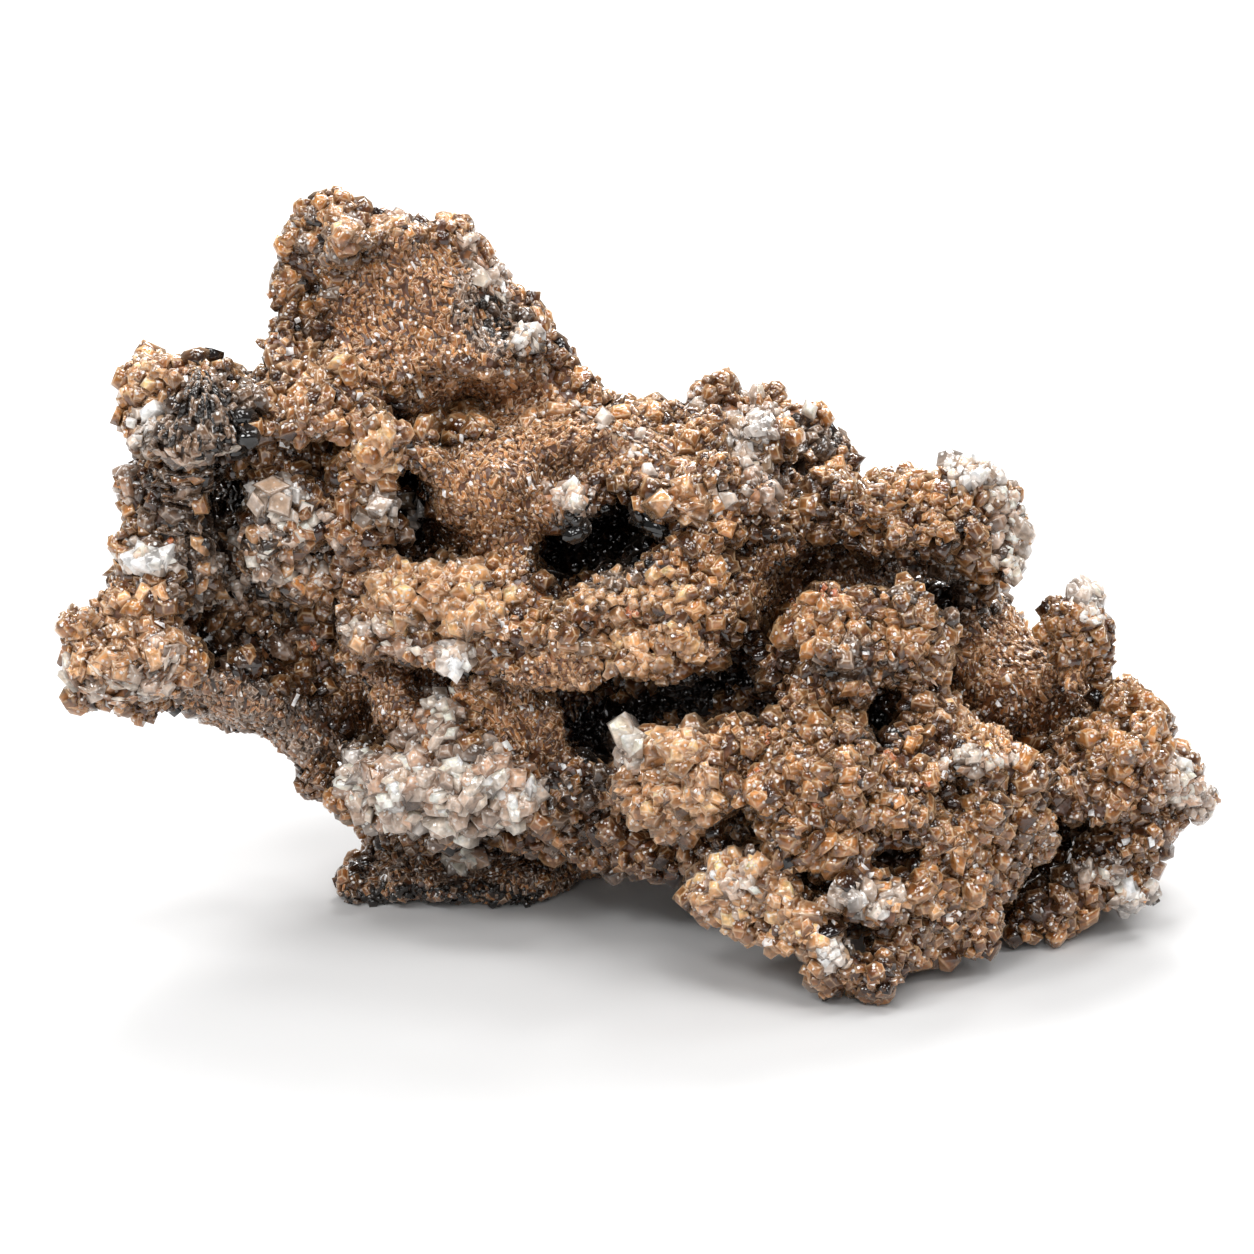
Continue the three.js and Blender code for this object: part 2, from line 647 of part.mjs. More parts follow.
const hollowCrystals = [
  [-6, 13.2, 1.4],
  [-5.4, 9.6, 1.4],
  [2.6, 11.8, 1.8],
  [7.6, 12.4, 1.4],
  [-3.6, 3.2, 1.4],
  [0, 4.4, 1.6],
  [3.2, 5, 1.4],
  [6.6, 3.4, 1.6],
  [10, 1.6, 1.6],
  [3.4, 0.8, 1.5],
  [0.4, -1.8, 1.8],
  [4.4, -2.2, 1.5],
  [8.6, -3.2, 1.6],
  [5.4, -4.4, 1.4],
  [-4.2, -5.4, 1.5],
  [-7.8, -4.8, 1.4],
  [-5.6, -1.4, 1.4],
  [-9.4, 0.2, 1.4],
];

const rosetteCrystals = [
  [20, 3.2, 1.4],
  [23.6, 3.2, 1.4],
  [27.2, 2.4, 1.5],
  [30.6, -1, 1.6],
  [17, 0.2, 1.3],
  [20.2, -2, 1.7],
  [23.6, -3, 1.6],
  [27.2, -3.4, 1.4],
  [22, -6.6, 1.5],
  [17.6, -6.4, 1.4],
];

const frontCrystals = [
  [0.8, -11.8, 2.2],
  [5.4, -11.4, 1.9],
  [8, -12.4, 1.5],
  [2.6, -14.6, 1.8],
  [6.8, -15, 1.8],
  [3.2, -18, 1.8],
  [8.4, -17.4, 1.6],
  [5, -20.4, 1.5],
  [12, -12, 1.5],
  [16, -11, 1.4],
  [21.8, -11.6, 1.6],
  [13, -16, 1.6],
  [18, -15, 1.6],
  [22.6, -17, 1.6],
  [17.2, -20.2, 1.6],
  [22.2, -22, 1.6],
  [26.4, -18.2, 1.5],
  [29.6, -20.6, 1.6],
  [32.8, -21.4, 1.5],
  [36.6, -18.2, 1.7],
  [36.4, -11, 1.6],
  [35, -13.2, 1.3],
  [36.4, -22, 1.4],
  [33.2, -24.4, 1.5],
  [37.2, -26, 1.4],
  [32, -28.4, 1.6],
  [35.4, -28.4, 1.3],
  [29, -25.8, 1.6],
  [25.6, -27.2, 1.6],
  [22.4, -26.2, 1.7],
];

const prongCrystals = [
  [9.4, -23.6, 1.7],
  [12.6, -24.4, 1.9],
  [8.6, -27, 1.6],
  [12, -29, 1.6],
  [15.8, -28, 1.6],
  [15, -31, 1.5],
  [18.6, -31, 1.7],
  [20.8, -32.8, 1.6],
  [25, -34.2, 1.6],
  [26.8, -35.6, 1.1],
];

const armCrystals = [
  [33, 15.6, 1.6],
  [35.4, 15, 1.4],
  [37.2, 12.6, 1.3],
  [38.4, 9.6, 1.4],
  [37.4, 6.6, 1.4],
  [34.6, 10.8, 1.5],
  [31.4, 9.6, 1.5],
  [28.6, 12.2, 1.4],
  [26, 9.4, 1.5],
  [22.8, 10.8, 1.6],
  [12.4, 18.6, 1.9],
  [14.6, 16.4, 1.4],
  [13.2, 12.6, 1.6],
];

const rightCrystals = [
  [45.2, 1.8, 1.8],
  [46.8, -0.2, 1.4],
  [42.8, -0.6, 1.4],
  [44.2, -3.2, 1.5],
  [49, -8.2, 1.4],
  [51.6, -8.6, 1.5],
  [53.6, -10.8, 1.4],
  [54.8, -13.4, 1.4],
  [56.8, -17.6, 1.5],
  [50.4, -12, 1.6],
  [46.2, -12, 1.5],
  [47, -15, 1.6],
  [51.8, -16, 1.5],
  [43, -15, 1.4],
  [53.8, -19.8, 1.4],
  [51.2, -20.4, 1.6],
  [47.2, -24.2, 1.8],
  [50.2, -25.8, 1.7],
  [46.6, -27, 1.4],
  [43, -27.4, 1.5],
  [39.8, -28.6, 1.4],
];

const crystals = [
  ...peakCrystals,
  ...leftCrystals,
  ...clusterCrystals,
  ...cheekCrystals,
  ...paleCrystals,
  ...hollowCrystals,
  ...rosetteCrystals,
  ...frontCrystals,
  ...prongCrystals,
  ...armCrystals,
  ...rightCrystals,
];

const noise = new ImprovedNoise();

function softUnion(a, b, blend) {
  const overlap = Math.max(blend - Math.abs(a - b), 0) / blend;
  return Math.min(a, b) - overlap * overlap * blend * 0.25;
}

const offset = new THREE.Vector3();

// Signed distance to an ellipsoid, below zero inside it.
function lumpDistance(point, item) {
  offset.subVectors(point, item.centre);
  let scaled = 0;
  let steepness = 0;
  for (let i = 0; i < 3; i += 1) {
    const along = offset.dot(item.axes[i]) / item.halves[i];
    scaled += along * along;
    steepness += (along / item.halves[i]) ** 2;
  }
  if (steepness === 0) return -Math.min(...item.halves);
  const level = Math.sqrt(scaled);
  return (level * (level - 1)) / Math.sqrt(steepness);
}

// Signed distance to a bar with rounded ends.
function barDistance(point, item) {
  const length = item.start.distanceTo(item.end);
  offset.subVectors(item.end, item.start).divideScalar(length);
  const reach = point.clone().sub(item.start).dot(offset);
  const share = THREE.MathUtils.clamp(reach / length, 0, 1);
  const nearest = item.start.clone().lerp(item.end, share);
  return point.distanceTo(nearest) - THREE.MathUtils.lerp(item.startRadius, item.endRadius, share);
}

// Signed distance to a crystal: four prism sides, four sloping domes and two flat ends.
function crystalDistance(point, item) {
  offset.subVectors(point, item.centre);
  const [x, y, z] = item.axes.map((axis) => Math.abs(offset.dot(axis)));
  const sides = x * PRISM_X + y * PRISM_Y - PRISM_REACH * item.radius;
  const domes = x * DOME_X + z * DOME_Z - DOME_REACH * item.radius;
  return Math.max(sides, domes, z - END_REACH * item.radius);
}

function distanceTo(point, item) {
  if (item.kind === "crystal") return crystalDistance(point, item);
  return item.kind === "bar" ? barDistance(point, item) : lumpDistance(point, item);
}

// Signed distance to the body before any crystal is scattered over it.
function bareDistance(point) {
  let distance = Infinity;
  for (const item of masses) distance = softUnion(distance, distanceTo(point, item), MASS_BLEND);
  if (distance > BARE_REACH) return distance;
  const wrinkle = noise.noise(point.x / WRINKLE_LENGTH, point.y / WRINKLE_LENGTH, point.z / WRINKLE_LENGTH);
  distance += DRAWN_IN - WRINKLE_HEIGHT * wrinkle;
  for (const item of outgrowths) {
    distance = softUnion(distance, distanceTo(point, item), KNOB_BLEND);
  }
  for (const item of hollows) distance = -softUnion(-distance, distanceTo(point, item), HOLLOW_BLEND);
  return distance;
}

// The direction straight out of the bare body at a point.
function outward(point) {
  const slope = [0, 1, 2].map((index) => {
    const ahead = point.clone();
    ahead.setComponent(index, point.getComponent(index) + SLOPE_REACH);
    const behind = point.clone();
    behind.setComponent(index, point.getComponent(index) - SLOPE_REACH);
    return bareDistance(ahead) - bareDistance(behind);
  });
  return new THREE.Vector3(...slope).normalize();
}

// Crystals scattered over the whole body, one for each lattice cell that its surface runs through.
function scatteredCrystals() {
  const found = [];
  const half = Math.ceil(BLOCK_SIDE / 2 / SCATTER_SPACING);
  for (let i = -half; i <= half; i += 1) {
    for (let j = -half; j <= half; j += 1) {
      for (let k = -1; k <= 2 * half; k += 1) {
        const shift = [1, 2, 3].map((salt) => chance(i, j, k, salt));
        const point = new THREE.Vector3(i, j, k).add(new THREE.Vector3(...shift));
        point.multiplyScalar(SCATTER_SPACING);
        const clear = bareDistance(point);
        if (Math.abs(clear) > SCATTER_SPACING / 2) continue;
        if ([...calm, ...hollows].some((zone) => distanceTo(point, zone) < 0)) continue;
        const growth = point.y > BACK_START ? BACK_GROWTH : 1;
        const radius = growth * THREE.MathUtils.lerp(SCATTER_LEAST, SCATTER_MOST, chance(i, j, k, 4));
        point.addScaledVector(outward(point), -clear - CRYSTAL_SEAT * radius);
        if (bareDistance(point) < 0) found.push(crystalAt(point, radius));
      }
    }
  }
  return found;
}

// Where the sight line at (across, rise) first meets the body.
function meeting(across, rise) {
  const near = seen(across, rise, -BLOCK_SIDE / 2);
  const far = seen(across, rise, BLOCK_SIDE / 2);
  const length = near.distanceTo(far);
  const step = far.clone().sub(near).divideScalar(length);
  const point = near.clone();
  for (let gone = 0; gone < length; ) {
    const clear = bareDistance(point);
    if (clear < SIGHT_TOUCH) return point;
    const stride = Math.max(SIGHT_SHARE * clear, SIGHT_STRIDE);
    point.addScaledVector(step, stride);
    gone += stride;
  }
  return null;
}

// Every crystal of the lists, seated on the bare body.
function listedCrystals() {
  const seated = [];
  for (const [across, rise, radius] of crystals) {
    const point = meeting(across, rise);
    if (!point) continue;
    point.addScaledVector(outward(point), -CRYSTAL_SEAT * radius);
    seated.push(crystalAt(point, CRYSTAL_GROWTH * radius));
  }
  return seated;
}

// Marks every place of a field that joins up with a start place, either all inside or all outside.
function joinedTo(field, steps, start, inside) {
  const marked = new Uint8Array(field.length);
  const waiting = [start];
  marked[start] = 1;
  while (waiting.length > 0) {
    const here = waiting.pop();
    for (const stride of [1, -1, steps, -steps, steps * steps, -steps * steps]) {
      const next = here + stride;
      if (next < 0 || next >= field.length || marked[next]) continue;
      if (field[next] > 0 !== inside) continue;
      marked[next] = 1;
      waiting.push(next);
    }
  }
  return marked;
}

// Fills pockets that nothing reaches from outside and drops bits that hang free of the body.
function tidyField(field, steps, heart) {
  const air = joinedTo(field, steps, 0, false);
  field.forEach((depth, index) => {
    if (depth <= 0 && !air[index]) field[index] = CELL;
  });
  const stone = joinedTo(field, steps, heart, true);
  field.forEach((depth, index) => {
    if (depth > 0 && !stone[index]) field[index] = -CELL;
  });
}

// Traces the body's surface, crystals and all, and thins its triangles out where it is flat.
async function bodyGeometry() {
  const steps = Math.ceil(BLOCK_SIDE / CELL);
  const tracer = new MarchingCubes(steps, new THREE.MeshStandardMaterial(), false, false, TRACED_TRIANGLES);
  tracer.isolation = 0;
  const blockMiddle = new THREE.Vector3(0, 0, BLOCK_MIDDLE_HEIGHT);
  const spot = (i, j, k) =>
    new THREE.Vector3(i, j, k)
      .divideScalar(steps / 2)
      .subScalar(1)
      .multiplyScalar(BLOCK_SIDE / 2)
      .add(blockMiddle);
  const place = (i, j, k) => i + j * steps + k * steps * steps;
  const nearest = (point) =>
    point
      .clone()
      .sub(blockMiddle)
      .addScalar(BLOCK_SIDE / 2)
      .multiplyScalar(steps / BLOCK_SIDE)
      .round()
      .clampScalar(0, steps - 1);
  for (let k = 0; k < steps; k += 1) {
    for (let j = 0; j < steps; j += 1) {
      for (let i = 0; i < steps; i += 1) tracer.field[place(i, j, k)] = -bareDistance(spot(i, j, k));
    }
  }
  for (const item of [...listedCrystals(), ...scatteredCrystals()]) {
    const first = nearest(item.centre.clone().subScalar(2 * item.radius));
    const last = nearest(item.centre.clone().addScalar(2 * item.radius));
    for (let k = first.z; k <= last.z; k += 1) {
      for (let j = first.y; j <= last.y; j += 1) {
        for (let i = first.x; i <= last.x; i += 1) {
          const depth = -distanceTo(spot(i, j, k), item);
          tracer.field[place(i, j, k)] = Math.max(tracer.field[place(i, j, k)], depth);
        }
      }
    }
  }
  tracer.field.fill(-CELL, 0, place(0, 0, nearest(new THREE.Vector3(0, 0, -CELL)).z));
  tracer.field.forEach((depth, index) => {
    if (Math.abs(depth) < LEAST_DEPTH) tracer.field[index] = LEAST_DEPTH;
  });
  tidyField(tracer.field, steps, place(...nearest(seen(...HEART))));
  tracer.update();
  const traced = new THREE.BufferGeometry();
  const corners = tracer.positionArray.slice(0, tracer.count * 3);
  traced.setAttribute("position", new THREE.BufferAttribute(corners, 3));
  traced.scale(BLOCK_SIDE / 2, BLOCK_SIDE / 2, BLOCK_SIDE / 2);
  traced.translate(blockMiddle.x, blockMiddle.y, blockMiddle.z);
  const whole = mergeVertices(traced, 1e-3);
  const surplus = whole.attributes.position.count - BODY_TRIANGLES / 2;
  return new SimplifyModifier().modify(whole, surplus);
}

const wasm = await Module();
wasm.setup();

function positionsOnly(geometry) {
  const bare = new THREE.BufferGeometry();
  bare.setAttribute("position", geometry.getAttribute("position"));
  bare.setIndex(geometry.getIndex());
  return bare;
}

function solidOf(geometry) {
  const merged = mergeVertices(geometry, 1e-3);
  const mesh = new wasm.Mesh({
    numProp: 3,
    vertProperties: new Float32Array(merged.attributes.position.array),
    triVerts: new Uint32Array(merged.index.array),
  });
  return new wasm.Manifold(mesh);
}

function geometryOf(solid) {
  const mesh = solid.getMesh();
  const geometry = new THREE.BufferGeometry();
  geometry.setAttribute("position", new THREE.BufferAttribute(mesh.vertProperties, mesh.numProp));
  geometry.setIndex(new THREE.BufferAttribute(mesh.triVerts, 1));
  return geometry;
}

// The biggest closed shell of a geometry, without the pockets and crumbs that thinning leaves behind.
function mainShell(geometry) {
  const corners = geometry.getIndex().array;
  const leader = Uint32Array.from({ length: geometry.getAttribute("position").count }, (_, i) => i);
  const leaderOf = (corner) => {
    let top = corner;
    while (leader[top] !== top) top = leader[top];
    leader[corner] = top;
    return top;
  };
  for (let i = 0; i < corners.length; i += 3) {
    leader[leaderOf(corners[i + 1])] = leaderOf(corners[i]);
    leader[leaderOf(corners[i + 2])] = leaderOf(corners[i]);
  }
  const sizes = new Map();
  for (const corner of corners) {
    sizes.set(leaderOf(corner), (sizes.get(leaderOf(corner)) ?? 0) + 1);
  }
  const [biggest] = [...sizes].sort((a, b) => b[1] - a[1])[0];
  const kept = corners.filter((corner) => leaderOf(corner) === biggest);
  const shell = new THREE.BufferGeometry();
  shell.setAttribute("position", geometry.getAttribute("position"));
  return shell.setIndex(new THREE.BufferAttribute(new Uint32Array(kept), 1));
}

// Draws corners that meet in one point without sharing a face a little apart, each to its own side.
function partPinches(geometry) {
  const position = geometry.getAttribute("position");
  const corners = geometry.getIndex().array;
  const spots = Array.from({ length: position.count }, (_, i) =>
    new THREE.Vector3().fromBufferAttribute(position, i),
  );
  const around = spots.map(() => ({ sum: new THREE.Vector3(), count: 0 }));
  const groups = new Map();
  for (let i = 0; i < corners.length; i += 1) {
    const first = i - (i % 3);
    for (const other of [first, first + 1, first + 2]) around[corners[i]].sum.add(spots[corners[other]]);
    around[corners[i]].count += 3;
    const key = spots[corners[i]].toArray().map((value) => value.toFixed(2)).join();
    groups.set(key, (groups.get(key) ?? new Set()).add(corners[i]));
  }
  for (const group of groups.values()) {
    if (group.size < 2) continue;
    for (const corner of group) {
      const side = around[corner].sum.divideScalar(around[corner].count).sub(spots[corner]);
      const moved = spots[corner].clone().addScaledVector(side.normalize(), PINCH_GAP);
      position.setXYZ(corner, moved.x, moved.y, moved.z);
    }
  }
  return geometry.toNonIndexed();
}

// The body ends flat where it meets the ground.
const grown = solidOf(await bodyGeometry());
const below = new THREE.BoxGeometry(2 * BLOCK_SIDE, 2 * BLOCK_SIDE, BLOCK_SIDE);
below.translate(0, 0, -BLOCK_SIDE / 2);
const standing = grown.subtract(solidOf(positionsOnly(below)));
const geometry = partPinches(mainShell(geometryOf(standing)));

// Honey brown, with the dull shine of a druse.
const stone = new THREE.MeshStandardMaterial({ color: 0x8b6b4d, roughness: 0.55, metalness: 0 });
const cluster = new THREE.Mesh(geometry, stone);
cluster.name = "barite_cluster";

// The origin is the middle of the box around the piece, on the ground.
geometry.computeBoundingBox();
const boxMiddle = geometry.boundingBox.getCenter(new THREE.Vector3());
cluster.position.set(-boxMiddle.x, -boxMiddle.y, 0);

const group = new THREE.Group();
group.add(cluster);

export default group;
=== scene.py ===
"""A barite crystal cluster: dark stone under a skin of honey, smoky and clear crystals.

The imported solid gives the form. A finer stone body stands for it, and crystals are grown on that
body's surface, zone by zone: where each kind of crystal grows is laid out as the piece looks from
the photograph's standpoint, and over the unseen back it follows slow noise.
"""

import logging
import math
from dataclasses import dataclass, field
from enum import Enum

import bpy
import numpy as np
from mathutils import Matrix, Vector
from mathutils.bvhtree import BVHTree


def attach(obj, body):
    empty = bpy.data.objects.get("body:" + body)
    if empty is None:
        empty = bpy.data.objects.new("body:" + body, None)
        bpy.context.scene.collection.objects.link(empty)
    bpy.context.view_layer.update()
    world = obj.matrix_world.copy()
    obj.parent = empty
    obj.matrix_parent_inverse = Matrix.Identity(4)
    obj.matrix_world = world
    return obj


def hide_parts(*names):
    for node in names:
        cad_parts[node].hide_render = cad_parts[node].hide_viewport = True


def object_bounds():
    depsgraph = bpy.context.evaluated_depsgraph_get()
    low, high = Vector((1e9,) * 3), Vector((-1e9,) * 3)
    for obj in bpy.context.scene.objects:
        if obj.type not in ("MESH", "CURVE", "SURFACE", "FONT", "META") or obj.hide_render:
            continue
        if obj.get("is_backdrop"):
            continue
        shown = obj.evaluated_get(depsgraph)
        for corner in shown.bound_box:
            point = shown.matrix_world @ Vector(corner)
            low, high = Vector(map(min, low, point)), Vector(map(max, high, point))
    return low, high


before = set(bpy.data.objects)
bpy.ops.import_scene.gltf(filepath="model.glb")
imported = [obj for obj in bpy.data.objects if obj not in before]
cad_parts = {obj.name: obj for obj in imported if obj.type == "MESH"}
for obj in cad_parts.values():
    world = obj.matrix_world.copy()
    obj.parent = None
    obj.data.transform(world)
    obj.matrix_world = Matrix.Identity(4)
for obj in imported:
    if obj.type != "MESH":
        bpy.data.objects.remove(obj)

log = logging.getLogger("barite_cluster")

MM = 0.001
NODE = "barite_cluster"
BODY = "root"

# The turn, in radians, that spreads directions evenly round an axis.
GOLDEN_ANGLE = 2.399963

Array = np.ndarray


class Slot(Enum):
    """The record's material slots."""

    HONEY = "honey_druse"
    PALE = "pale_crystal"
    DARK = "dark_matrix"


class Habit(Enum):
    """The kinds of crystal that grow on the piece."""

    HONEY = "honey"
    TAN = "tan"
    PALE = "pale"
    WHITE = "white"
    SMOKY = "smoky"
    BROWN = "brown"
    BLACK = "black"
    RUST = "rust"


HONEY, TAN, PALE, WHITE, SMOKY, BROWN, BLACK, RUST = Habit


# Views and noise


@dataclass(frozen=True)
class Standpoint:
    """Where the piece is looked at from, in millimetres and degrees.

    Attributes:
        middle: The point that the view is centred on.
        elevation: How far the view looks down.
        distance: From the eye to the middle.
        width: How much the square view takes in at the middle.
    """

    middle: tuple[float, float, float] = (-1.467, -0.433, 29.5)
    elevation: float = 20.0
    distance: float = 500.0
    width: float = 124.4

    def axes(self) -> tuple[Array, Array, Array]:
        """Gives the view's directions.

        Returns:
            To the right, up the view and into it.
        """
        tilt = math.radians(self.elevation)
        right = np.array([1.0, 0.0, 0.0])
        rise = np.array([0.0, math.sin(tilt), math.cos(tilt)])
        into = np.array([0.0, math.cos(tilt), -math.sin(tilt)])
        return right, rise, into

    def eye(self) -> Array:
        """Gives the eye's place."""
        return np.array(self.middle) - self.axes()[2] * self.distance

    def flatten(self, points: Array) -> tuple[Array, Array]:
        """Projects points onto the plane through the middle.

        Args:
            points: An (n, 3) array in millimetres.

        Returns:
            How far across and up the view each point is seen.
        """
        right, rise, into = self.axes()
        ray = points - self.eye()
        depth = ray @ into
        return (ray @ right) / depth * self.distance, (ray @ rise) / depth * self.distance


# Large odd numbers that mix a cell's place and the seed into a repeatable value.
CELL_MIXERS = np.array([73856093, 19349663, 83492791])
SEED_MIXER = 2654435761
WORD_BITS = 0xFFFFFFFF
VALUE_BITS = 0xFFFFFF


def lattice_value(cells: Array, seed: int) -> Array:
    """Gives a repeatable value from 0 to 1 for whole-numbered cells.

    Args:
        cells: An (n, 3) array of whole numbers.
        seed: Which of many patterns to give.

    Returns:
        An (n,) array.
    """
    mixed = cells.astype(np.int64) @ CELL_MIXERS + seed * SEED_MIXER
    for shift, mixer in ((13, 1274126177), (16, 2246822519)):
        mixed = (mixed ^ (mixed >> shift)) * mixer & WORD_BITS
    return ((mixed ^ (mixed >> 15)) & VALUE_BITS) / float(VALUE_BITS)


def drift(points: Array, length: float, seed: int) -> Array:
    """Gives smooth noise from -1 to 1.

    Args:
        points: An (n, 3) array in millimetres.
        length: The size of the noise's cells in millimetres.
        seed: Which of many patterns to give.

    Returns:
        An (n,) array.
    """
    scaled = points / length
    cell = np.floor(scaled)
    part = scaled - cell
    part = part * part * (3 - 2 * part)
    total = np.zeros(len(points))
    for corner in np.ndindex(2, 2, 2):
        step = np.array(corner)
        share = np.prod(np.where(step, part, 1 - part), axis=1)
        total += share * lattice_value(cell + step, seed)
    return 2 * total - 1


# How wide the crease between two knobs is, against their spacing.
CREASE_WIDTH = 0.3


def domes(points: Array, length: float, seed: int) -> tuple[Array, Array]:
    """Gives rounded knobs packed side by side.

    Args:
        points: An (n, 3) array in millimetres.
        length: How far apart the knobs are in millimetres.
        seed: Which of many patterns to give.

    Returns:
        Each point's height on its knob, from 0 to 1, and its nearness to a crease, from 0 to 1.
    """
    scaled = points / length
    cell = np.floor(scaled)
    nearest = np.full(len(points), np.inf)
    second = np.full(len(points), np.inf)
    for corner in np.ndindex(3, 3, 3):
        other = cell + np.array(corner) - 1
        middle = other + np.stack([lattice_value(other, seed + i) for i in range(3)], axis=1)
        away = np.linalg.norm(scaled - middle, axis=1)
        second = np.minimum(second, np.maximum(nearest, away))
        nearest = np.minimum(nearest, away)
    return np.clip(1 - nearest**2, 0, 1), np.clip(1 - (second - nearest) / CREASE_WIDTH, 0, 1)


def blend(low: Array | float, high: Array | float, share: Array) -> Array:
    """Goes from a low value to a high one by a share from 0 to 1."""
    return low + (high - low) * share


# Zones


# The front's zones end this far back, in millimetres, and the far ledge's begin there.
FRONT_DEPTH = 13.0

# Farther back than this, in millimetres, the skin is hardly seen from the standpoint.
HIDDEN_DEPTH = 9.0

# Where a zone ends, with its oval's edge at 1, and how wide its fading edge is.
ZONE_END = 1.2
ZONE_FADE = 0.4


@dataclass(frozen=True)
class Zone:
    """An oval patch of the front where one habit grows.

    Attributes:
        habit: The habit that grows there.
        across: Its middle, in millimetres to the right of the view's middle.
        rise: Its middle, in millimetres up the view.
        half_width: Half its width.
        half_height: Half its height.
        lean: How far it leans anticlockwise, in degrees.
        share: How many of its crystals have the habit.
        behind: Whether the patch lies on the far ledge and not on the front.
    """

    habit: Habit
    across: float
    rise: float
    half_width: float
    half_height: float
    lean: float = 0.0
    share: float = 0.85
    behind: bool = False

    def weight(self, across: Array, rise: Array, depth: Array) -> Array:
        """Says how far points lie in the zone.

        Args:
            across: Their places across the view.
            rise: Their places up the view.
            depth: Their places from front to back.

        Returns:
            From 0 outside to `share` well inside.
        """
        turn = math.radians(self.lean)
        x, y = across - self.across, rise - self.rise
        u = (x * math.cos(turn) + y * math.sin(turn)) / self.half_width
        v = (y * math.cos(turn) - x * math.sin(turn)) / self.half_height
        inside = np.clip((ZONE_END - np.hypot(u, v)) / ZONE_FADE, 0, 1)
        here = depth > FRONT_DEPTH if self.behind else depth < FRONT_DEPTH
        return inside * here * self.share


